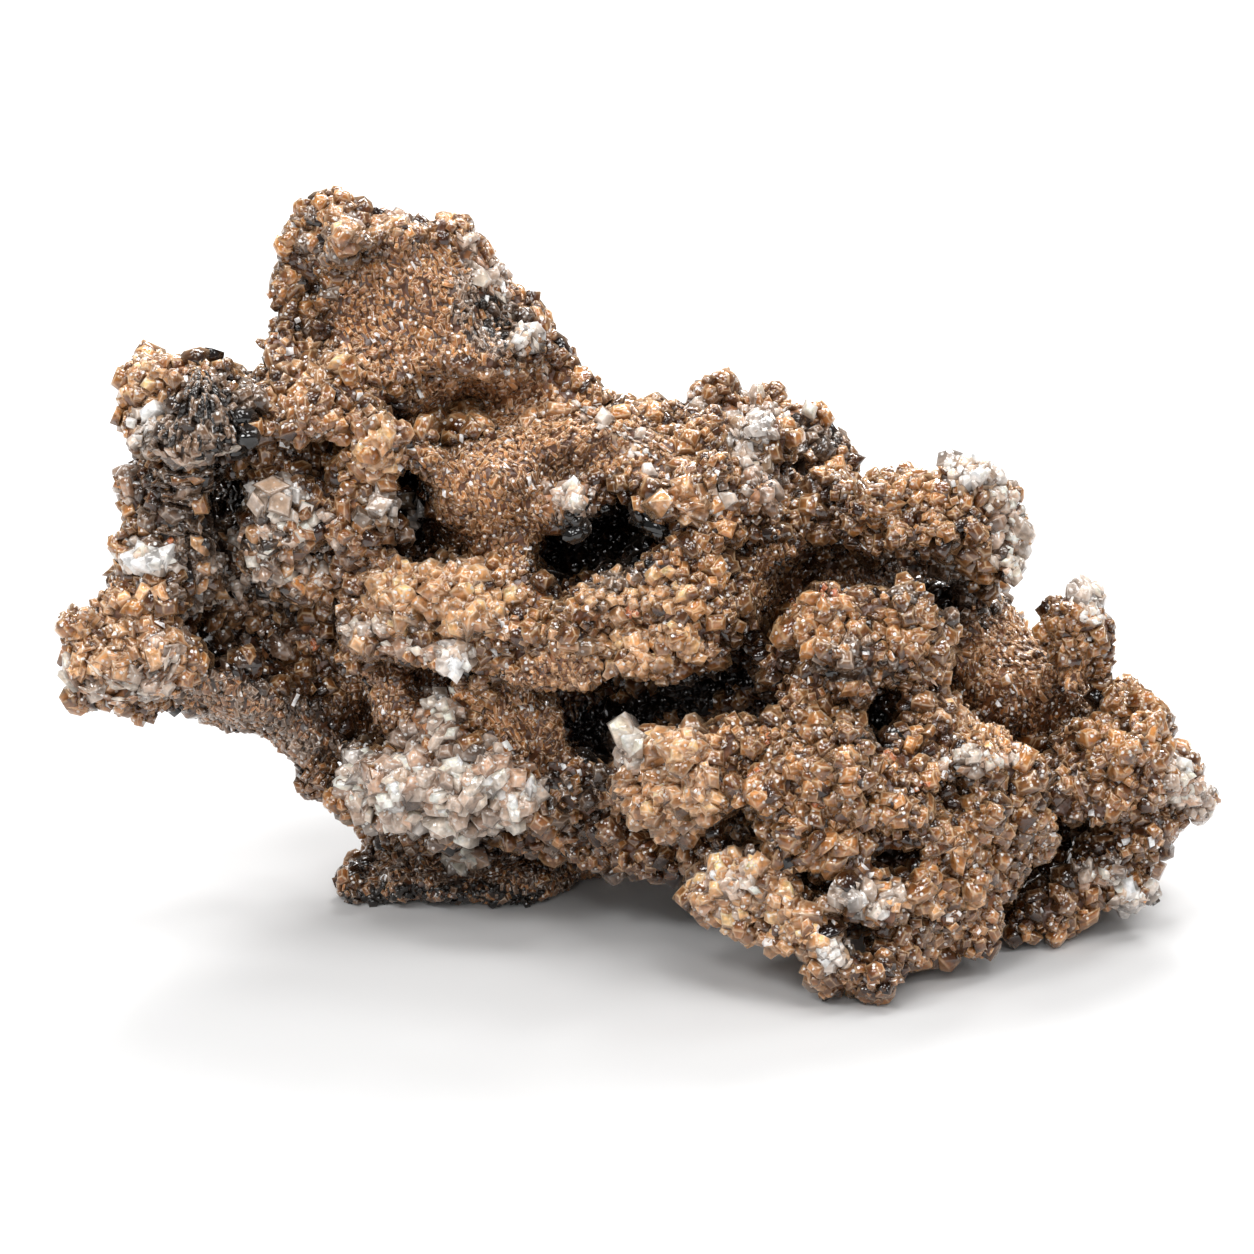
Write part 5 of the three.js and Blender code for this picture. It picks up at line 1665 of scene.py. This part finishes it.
FEATURES = (
    # the left block's ribbed fan, its pale lip and the dark plates under it
    *(
        Row(BLACK if i % 2 else SMOKY, (FAN_APEX, foot), 0.7, 0.6, 0.24, 0.75, BLOCK)
        for i, foot in enumerate(FAN_FEET)
    ),
    Row(PALE, FAN_LIP, 0.8, 0.8, 0.5, 0.8, PLATE),
    *(
        Row(SMOKY, ((-46.6, rise), (-43.6, rise - 0.5), (-40.8, rise)), 0.8, 0.8, 0.22, 1.3, PLATE)
        for rise in (15.4, 14.3, 13.2, 12.1, 9.4, 8.2)
    ),
    Cluster(SMOKY, -43, 6, 3, 4, 54, 0.64, 1.26, PRISM, 1.0, 0.6),
    Cluster(WHITE, -47.5, 6.6, 2.4, 1.0, 22, 0.64, 1.26, SPIRE, 1.0, 0.5),
    Cluster(WHITE, -47.6, 19.6, 1.2, 1.8, 19, 0.56, 1.01, PLATE, 0.6, 0.4),
    Cluster(TAN, -47, 25, 2.4, 2.2, 35, 0.56, 1.01),
    # the glassy recess
    Cluster(SMOKY, -38, 6, 6.4, 5.4, 90, 0.56, 1.26, PRISM, 1.0, 0.7),
    Cluster(TAN, -38, 4, 5.4, 5.4, 50, 0.56, 1.2, PRISM, 1.0, 0.7, 0.4),
    Cluster(PALE, -37, 2.4, 5, 4, 46, 0.32, 0.8, PLATE, 0.6, 0.7),
    Cluster(WHITE, -37.5, 3.4, 5, 4, 40, 0.3, 0.8, PLATE, 0.5, 0.8, 0.8),
    Cluster(PALE, -38, 5.4, 4.6, 4, 60, 0.45, 1.1, PRISM, 1.0, 0.7, 0.9),
    # the wing and its thin scalloped rims
    Cluster(TAN, -50.4, -1.4, 4.8, 4.2, 81, 0.64, 1.34, PLATE, 0.7, 0.35),
    Row(PALE, WING_RIM, 0.9, 1.3, 0.3, 1.3, PLATE, 0.3),
    Row(PALE, ((-53.4, -3.4), (-51, -5.2), (-48.4, -5), (-46.4, -2.6)), 1.0, 1.2, 0.26, 1.1, PLATE, 0.3),
    # the ledge, the knobs and the chalk-white flakes
    Cluster(BROWN, -31, 20.6, 4.6, 2.6, 50, 0.64, 1.26),
    Cluster(TAN, -24.8, 17.8, 2.4, 2.4, 35, 0.72, 1.43),
    Cluster(WHITE, -35.4, 13.4, 2.3, 1.1, 30, 0.56, 1.09, PLATE, 0.5, 0.16, 0.5),
    Cluster(WHITE, -35, 13.3, 1.7, 0.6, 6, 1.5, 2.1, PLATE, 0.3, 0.1, 0.9),
    Cluster(WHITE, -24.5, 12.3, 1.3, 1.3, 16, 0.56, 1.01, PLATE, 0.5, 0.2, 0.5),
    Cluster(WHITE, -24.5, 12.2, 0.5, 0.5, 3, 1.3, 1.7, PLATE, 0.3, 0.1, 0.9),
    Cluster(PALE, -34, 8.6, 6, 3, 40, 0.64, 1.34),
    Cluster(BROWN, -28, 6, 5, 4, 60, 0.64, 1.26),
    Cluster(WHITE, -20.9, 11.2, 0.5, 1.0, 7, 0.56, 1.01, SPIRE, 1.0, 0.5),
    # the peak's blocks
    Cluster(HONEY, -31.5, 36.5, 2.6, 6.4, 50, 0.5, 1.0, BLOCK),
    Cluster(SMOKY, -31, 37, 2.4, 5, 26, 0.5, 1.0, BLOCK),
    Cluster(TAN, -27, 40, 4, 1.6, 35, 0.56, 1.09, BLOCK),
    Row(PALE, ((-16.4, 38.4), (-13.4, 34), (-10, 29.6), (-7.4, 24)), 1.1, 0.8, 0.35, 0.8, PLATE, 0.3),
    Cluster(WHITE, -10.4, 28.6, 0.9, 0.6, 9, 0.64, 1.09, PRISM, 0.8, 0.4),
    # the cheek and the pale cluster under it
    Cluster(TAN, -19, 3, 7.4, 4, 148, 0.64, 1.51),
    Row(PALE, ((-28, 0), (-24, -1.6), (-20, -2.6), (-16.4, -3)), 0.8, 0.9, 0.6, 1.0, PLATE, 0.4),
    Cluster(WHITE, -16.9, -3, 1.3, 1.2, 16, 0.64, 1.26, PRISM, 1.0, 0.5),
    Cluster(PALE, -18.8, -8, 1.4, 3.4, 32, 0.56, 1.09),
    Cluster(PALE, -23.4, -16, 4.4, 4, 94, 0.72, 1.68),
    Cluster(WHITE, -24.4, -15.4, 3.6, 3, 59, 0.64, 1.34),
    Cluster(PALE, -14.8, -16.6, 6, 3.8, 122, 0.72, 1.68),
    Cluster(WHITE, -11.6, -15.6, 2.8, 1.8, 30, 0.64, 1.26),
    Cluster(PALE, -16.2, -22.6, 1.4, 1.6, 16, 0.64, 1.26, SPIRE, 1.0, 0.5),
    # saddle and hollows
    Cluster(HONEY, -17.8, 19.9, 4, 1.2, 80, 0.6, 1.3, BLOCK, 1.0, 0.5, 0.9),
    Cluster(HONEY, -28.8, 17, 1.6, 1.2, 20, 0.6, 1.1, BLOCK, 1.0, 0.5, 0.8),
    # the white plates along the saddle's skyline are a painted highlight
    Row(WHITE, ((-4.4, 22), (-2, 20.4), (0.6, 18.8), (3.2, 17)), 0.6, 0.5, 0.16, 0.34, PLATE, 0.2),
    Row(WHITE, ((-1.6, 21.2), (1.2, 19.6), (4.4, 17.4), (6.2, 15.6)), 0.8, 0.5, 0.14, 0.3, PLATE, 0.2),
    Cluster(WHITE, 12.2, 18.6, 1.5, 2.4, 40, 0.48, 0.92, PLATE, 0.5, 0.25, 0.4),
    Cluster(PALE, -6, 12.8, 1.7, 1.2, 22, 0.64, 1.18),
    Cluster(TAN, 5.4, 12.2, 1.6, 1.6, 22, 0.72, 1.43, SPIRE, 1.0, 0.5, 0.6),
    Cluster(TAN, 0, 3.8, 6, 1.8, 54, 0.56, 1.09),
    Cluster(TAN, 2, -2.6, 7, 2.2, 81, 0.64, 1.34),
    # arm, knob, rosette and slope
    Cluster(WHITE, 33.6, 16.2, 2.6, 1.3, 40, 0.48, 1.01, PRISM, 1.0, 0.5),
    Cluster(PALE, 37.6, 10, 1.6, 4.4, 46, 0.56, 1.09),
    Cluster(HONEY, 28, 11, 6, 3.4, 94, 0.56, 1.18),
    # the white crystals on the knob's top are a painted highlight
    Cluster(WHITE, 46, 2.6, 1.4, 2.2, 32, 0.48, 1.01, PRISM, 1.0, 0.5),
    Cluster(HONEY, 43, -1, 2.6, 3, 46, 0.56, 1.18),
    Cluster(HONEY, 28, 0, 3.4, 3, 68, 0.64, 1.34),
    Cluster(HONEY, 19, 0, 4, 3.4, 81, 0.64, 1.51),
    Row(PALE, ((29, -4.4), (31.4, -7), (33.4, -9.4)), 0.9, 0.8, 0.3, 0.5, PLATE, 0.2),
    # right lobe
    Cluster(HONEY, 50, -10, 5, 5, 122, 0.64, 1.43),
    Cluster(PALE, 55.4, -15.6, 1.8, 2.4, 30, 0.56, 1.18),
    Cluster(PALE, 47.4, -25, 2, 1.2, 20, 0.56, 1.09),
    Cluster(WHITE, 50.2, -26.8, 1.4, 0.8, 12, 0.5, 0.9),
    Cluster(PALE, 35, -13.2, 3.8, 0.8, 22, 0.56, 1.01),
    # left lump and front mass
    Cluster(TAN, 4, -15.6, 4.6, 5.4, 135, 0.72, 1.6),
    Cluster(PALE, 0.8, -12.8, 1.6, 1.8, 24, 0.64, 1.26),
    Cluster(PALE, 0, -11, 0.3, 0.5, 4, 1.12, 1.6, SPIRE, 1.0, 0.35, 0.7),
    Cluster(TAN, 12, -27, 7, 4.6, 122, 0.64, 1.51),
    Cluster(PALE, 9.4, -25.6, 3.4, 2.6, 35, 0.64, 1.26),
    Cluster(WHITE, 24, -26.8, 3, 1.1, 27, 0.56, 1.09, PLATE, 0.7, 0.35),
    Cluster(WHITE, 20.6, -32.6, 1.1, 1.6, 16, 0.56, 1.09),
    Cluster(HONEY, 18, -16, 9, 8, 202, 0.64, 1.51),
    Cluster(HONEY, 33, -22, 5, 5, 81, 0.64, 1.43),
    # rust
    *(
        Cluster(RUST, across, rise, 0.8, 0.5, 7, 0.3, 0.5, GRAIN, 1.0, 0.6, 0.9)
        for across, rise in (
            (16.5, 2), (0, 1), (14, -11), (18.5, -17.5), (29.5, -15.5), (32.5, -12.5), (18, -23), (-44.5, 8),
            (-39, 6.5), (-31, -2), (22.4, -15), (12.6, -14.4), (26, -12.6), (20.4, 3.2),
        )
    ),
    Nub(BROWN, -30.6, -13.4, 4.0, 2.0, 130),
    Nub(HONEY, 41.2, -20.4, 3.4, 1.7, 90),
)


# How far crystals that run down the slope sway to the sides, and over what length in millimetres.
SWAY = 0.8
SWAY_LENGTH = 5.0

# A piece's mesh, its finish and its slot.
Made = tuple[bpy.types.Mesh, Finish, Slot]


@dataclass(frozen=True)
class Toning:
    """How light the sown crystals are painted, between their habit's darkest and lightest: at random, and as
    painted light and shade by how open their place is.

    Attributes:
        base: What all have.
        by_lot: What their lot adds.
        by_shade: What an open place adds, as painted light.
        by_cloud: What slow noise adds or takes away.
        cloud_length: How wide the noise's lumps are in millimetres.
        least_light: How light a crystal is painted in a closed hollow, against one in the open: painted
            shade.
        deepening: How fast the painted shade deepens into a hollow: 1 is evenly.
        fine_open: How open fine skin counts as at least, which limits its painted shade.
        fine_even: How much less the lot counts on fine skin.
        fine_lot: The lot that fine skin has at least.
    """

    base: float = -0.47
    by_lot: float = 0.45
    by_shade: float = 0.9
    by_cloud: float = 0.35
    cloud_length: float = 2.6
    least_light: float = 0.16
    deepening: float = 1.6
    fine_open: float = 0.8
    fine_even: float = 0.6
    fine_lot: float = 0.2

    def tone(self, lot: Array, shade: Array, cloud: Array, fine: Array) -> Array:
        """Gives each crystal's tone.

        Args:
            lot: A value from 0 to 1 for each crystal.
            shade: How open each one's place is.
            cloud: The slow noise there.
            fine: How fine the skin is there.

        Returns:
            From 0, the habit's darkest, to 1, its lightest.
        """
        even = lot * (1 - self.fine_even * fine) + self.fine_lot * fine
        tone = self.base + self.by_lot * even + self.by_shade * shade + self.by_cloud * cloud * (1 - fine)
        return np.clip(tone, 0, 1)

    def light(self, shade: Array, fine: Array) -> Array:
        """Gives how light each crystal is painted for its place: painted shade in hollows."""
        return blend(self.least_light, 1, np.maximum(shade, self.fine_open * fine) ** self.deepening)


@dataclass
class Druse:
    """The crystals all over the stone.

    Attributes:
        sowings: The sizes of crystal, in the order that they are sown.
        parts: How many pieces the grains are made in.
        seed: The seed of the single crystals' lots.
        toning: How light the crystals are painted, with painted shade by their place.
        sunk: How far a crystal's middle lies off the skin, from the least to the most, in radii.
        proud: How much farther out some stand.
        proud_share: How many do.
        fine_sunk: How much deeper those of fine skin lie.
        sides: The least and most that a crystal's sides differ from its size.
        grain: What the small honey, smoky and brown crystals are made of.
        honey: What the larger ones are made of.
        pale: What the pale crystals are made of.
        white: What the white crystals are made of.
    """

    sowings: tuple[Sowing, ...] = (
        Sowing(GRAIN, 0.62, 0.2, 0.34, Where.FINE, 51, 0.4, 0.012, 2.2),
        Sowing(GRAIN, 1.08, 0.32, 0.68, Where.ROUGH, 101, 0.7),
        Sowing(BLOCK, 1.6, 0.42, 1.05, Where.ROUGH, 201),
        Sowing(BLOCK, 2.1, 0.34, 0.6, Where.FINE, 251),
        Sowing(PRISM, 3.2, 0.65, 1.45, Where.ROUGH, 301),
        Sowing(PRISM, 1.3, 0.45, 1.3, Where.CLEAR, 401, 0.7),
    )
    parts: int = 4
    seed: int = 900
    toning: Toning = Toning()
    sunk: tuple[float, float] = (-0.25, 0.3)
    proud: float = 0.35
    proud_share: float = 0.2
    fine_sunk: float = 0.3
    sides: tuple[float, float] = (0.75, 1.45)
    grain: Finish = Finish(
        "honey_grain", roughness=0.06, transmission=0.0, cloud=0.45, painted_glint=0.45, edge=0.85, coat=0.35,
        round=0.75, rim=0.7,
    )
    honey: Finish = Finish(
        "honey_crystal", tilt=0.08, cloud=0.5, painted_glint=0.6, edge=0.85, coat=0.35, round=0.7
    )
    pale: Finish = Finish("pale_crystal", tilt=0.1)
    white: Finish = Finish("white_crystal", transmission=0.15, cloud=0.3, coat=0.5, round=0.5, rim=0.3)

    def crop(self, skin: Skin, garden: Garden, sowing: Sowing) -> tuple[Crop, Array]:
        """Grows the crystals of one sowing.

        Args:
            skin: What they grow on.
            garden: Which habit grows where.
            sowing: Their form, size and spread.

        Returns:
            The crystals, and each one's habit.
        """
        rng = np.random.default_rng(sowing.seed)
        points, normals, shade = skin.scatter(sowing.spacing, sowing.seed)
        picked = garden.habits_at(points, sowing.seed + 1)
        fine = garden.fineness(points)
        count = len(points)
        keep = sowing.where.takes(rng.random(count), fine, garden.clear[picked])
        size = blend(sowing.least, sowing.most, rng.random(count) ** 2)
        cloud = drift(points, self.toning.cloud_length, sowing.seed + 2)
        # crystals in closed places are painted darker and in open ones lighter, as painted shade and light,
        # besides their random lots and slow noise
        tone = self.toning.tone(rng.random(count), shade, cloud, fine)[:, None]
        tints = blend(garden.low[picked], garden.high[picked], tone) * self.toning.light(shade, fine)[:, None]
        lift = rng.uniform(*self.sunk, count) + self.proud * (rng.random(count) < self.proud_share)
        lift -= self.fine_sunk * fine
        centres = points + normals * (size * lift)[:, None]
        sizes = size[:, None] * rng.uniform(*self.sides, (count, 3))
        heading = None
        if sowing.stretch > 1:
            sizes[:, 0] *= sowing.stretch
            sway = np.stack([drift(points, SWAY_LENGTH, sowing.seed + i) for i in (3, 4)], axis=1)
            heading = np.column_stack([SWAY * sway, np.full(count, -1.0)])
        axes = turns(normals, sowing.lean, rng, heading)
        grown = Crop(sowing.form, centres, axes, sizes, tints, glint=sowing.glint)
        return grown.picked(keep), picked[keep]

    def build(self, ground: Ground, garden: Garden, low: Array, high: Array) -> list[Made]:
        """Makes the crystals' meshes.

        Args:
            ground: What they grow on.
            garden: Which habit grows where.
            low: The lowest corner of the box that they stay in.
            high: Its highest corner.

        Returns:
            Each mesh, its finish and its slot.
        """
        groups: dict[str, list[Crop]] = {f"honey_grains_{i + 1}": [] for i in range(self.parts)}
        groups |= {"honey_crystals": [], "pale_crystals": [], "white_crystals": []}
        pale, white = garden.habits.index(PALE), garden.habits.index(WHITE)
        for sowing in self.sowings:
            crop, picked = self.crop(ground.skin, garden, sowing)
            groups["pale_crystals"].append(crop.picked(picked == pale))
            groups["white_crystals"].append(crop.picked(picked == white))
            rest = crop.picked((picked != pale) & (picked != white))
            if not len(rest.centres):
                continue
            if sowing.form is PRISM:
                groups["honey_crystals"].append(rest)
                continue
            edges = np.quantile(rest.centres[:, 0], np.linspace(0, 1, self.parts + 1)[1:-1])
            part = np.searchsorted(edges, rest.centres[:, 0])
            for i in range(self.parts):
                groups[f"honey_grains_{i + 1}"].append(rest.picked(part == i))
        rng = np.random.default_rng(self.seed)
        for feature in FEATURES:
            name = {PALE: "pale_crystals", WHITE: "white_crystals"}.get(feature.habit, "honey_crystals")
            groups[name].append(feature.crop(ground, rng))
        finishes = {
            "honey_crystals": (self.honey, Slot.HONEY),
            "pale_crystals": (self.pale, Slot.PALE),
            "white_crystals": (self.white, Slot.PALE),
        }
        made = []
        for name, crops in groups.items():
            corners, quads, tints = joined(crops, low, high)
            mesh = quad_mesh(name, corners, quads)
            facet_map(mesh)
            paint(mesh, tints)
            made.append((mesh, *finishes.get(name, (self.grain, Slot.HONEY))))
        return made

    @staticmethod
    def dress(made: list[Made], group: bpy.types.NodeTree) -> None:
        """Gives the crystals their materials and puts them in the scene.

        Args:
            made: The meshes with their finishes and slots.
            group: The shared facet group.
        """
        materials = {finish: finish.material(group) for _, finish, _ in made}
        for mesh, finish, slot in made:
            place(mesh, materials[finish], slot)


@dataclass(frozen=True)
class Softbox:
    """A lamp with a soft square face.

    Attributes:
        name: The lamp's name.
        azimuth: Where it stands, in degrees to the right of the camera.
        elevation: How high it stands, in degrees.
        power: Its power in watts.
        distance: How far it is from the piece, in metres.
        side: The side of its face in metres.
    """

    name: str
    azimuth: float
    elevation: float
    power: float
    distance: float = 0.9
    side: float = 0.2

    def place(self, target: Vector) -> None:
        """Puts the lamp in the scene.

        Args:
            target: What it faces.
        """
        lamp = bpy.data.lights.new(self.name, "AREA")
        lamp.shape = "RECTANGLE"
        lamp.size, lamp.size_y = self.side, self.side
        lamp.energy = self.power
        thing = bpy.data.objects.new(self.name, lamp)
        bpy.context.scene.collection.objects.link(thing)
        a, e = math.radians(self.azimuth), math.radians(self.elevation)
        way = Vector((math.sin(a) * math.cos(e), -math.cos(a) * math.cos(e), math.sin(e)))
        thing.location = target + way * self.distance
        thing.rotation_euler = (-way).to_track_quat("-Z", "Y").to_euler()


@dataclass
class Studio:
    """The white table, the lamps and the camera.

    Attributes:
        table_radius: The radius of the round table in metres.
        table_sides: How many straight edges its rim has.
        paper: How pale its paper is, from 0 to 1.
        paper_roughness: How rough the paper is.
        sky: How brightly the white room lights the piece.
        backdrop: How bright the room looks behind the table.
        sensor_width: The width of the camera's sensor in millimetres.
        lamps: The lamps.
    """

    table_radius: float = 0.5
    table_sides: int = 96
    paper: float = 0.66
    paper_roughness: float = 0.9
    sky: float = 0.26
    backdrop: float = 1.0
    sensor_width: float = 36.0
    lamps: tuple[Softbox, ...] = tuple(
        Softbox(f"lamp_{i + 1}", azimuth, elevation, power)
        for i, (azimuth, elevation, power) in enumerate(
            (
                (176, 42, 3.83),
                (-160, 48, 1.82),
                (150, 46, 3.46),
                (115, 50, 1.12),
                (-118, 52, 1.12),
                (90, 74, 1.24),
                (-80, 72, 1.24),
                (20, 80, 1.12),
                (62, 46, 0.99),
                (-60, 40, 1.82),
                (30, 58, 0.99),
                (-30, 48, 1.37),
                (8, 34, 0.86),
                (-14, 22, 0.62),
            )
        )
    )

    def lay_table(self) -> None:
        """Lays the round table, with its top at the floor's height."""
        turn = np.arange(self.table_sides) * 2 * math.pi / self.table_sides
        rim = np.stack([np.cos(turn), np.sin(turn), np.zeros(self.table_sides)], axis=1) * self.table_radius
        mesh = bpy.data.meshes.new("table")
        mesh.from_pydata(rim.tolist(), [], [tuple(range(self.table_sides))])
        table = bpy.data.objects.new("table", mesh)
        bpy.context.scene.collection.objects.link(table)
        paper = bpy.data.materials.new("white_paper")
        paper.use_nodes = True
        shader = paper.node_tree.nodes["Principled BSDF"]
        shader.inputs["Base Color"].default_value = (self.paper, self.paper, self.paper, 1)
        shader.inputs["Roughness"].default_value = self.paper_roughness
        mesh.materials.append(paper)
        table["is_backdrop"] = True

    def light_room(self) -> None:
        """Makes the white room: its light is dim, and behind the table it looks white."""
        world = bpy.data.worlds.new("white_room")
        world.use_nodes = True
        wiring = Wiring(world.node_tree)
        sky = world.node_tree.nodes["Background"].inputs
        sky["Color"].default_value = (1, 1, 1, 1)
        seen = wiring.add("LightPath").outputs["Is Camera Ray"]
        strength = wiring.add("Mix", {0: seen, 2: self.sky, 3: self.backdrop}).outputs[0]
        wiring.feed(strength, sky["Strength"])
        bpy.context.scene.world = world

    def set_camera(self, standpoint: Standpoint) -> None:
        """Sets the camera up at the standpoint.

        Args:
            standpoint: Where the piece is looked at from.
        """
        scene = bpy.context.scene
        data = bpy.data.cameras.new("camera")
        data.sensor_width = self.sensor_width
        data.lens = self.sensor_width * standpoint.distance / standpoint.width
        camera = bpy.data.objects.new("camera", data)
        scene.collection.objects.link(camera)
        camera.location = [value * MM for value in standpoint.eye()]
        camera.rotation_euler = (math.radians(90 - standpoint.elevation), 0, 0)
        scene.camera = camera
        scene.view_settings.view_transform = "Standard"

    def build(self, standpoint: Standpoint) -> None:
        """Sets up the table, the light and the camera.

        Args:
            standpoint: Where the piece is looked at from.
        """
        self.lay_table()
        self.light_room()
        for lamp in self.lamps:
            lamp.place(Vector(standpoint.middle) * MM)
        self.set_camera(standpoint)


def main() -> None:
    """Builds the cluster, its crystals and the studio around it."""
    logging.basicConfig(level=logging.INFO, format="%(name)s: %(message)s")
    box = [[float(value) for value in corner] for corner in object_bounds()]
    low, high = (np.array(corner) / MM for corner in box)
    standpoint = Standpoint()
    garden = Garden(standpoint)
    group = FacetGroup().build()
    stone = StoneBody()
    stone.dress(stone.build(garden), group)
    druse = Druse()
    druse.dress(druse.build(Ground(stone.skin, standpoint), garden, low, high), group)
    Studio().build(standpoint)


if __name__ == "__main__":
    main()
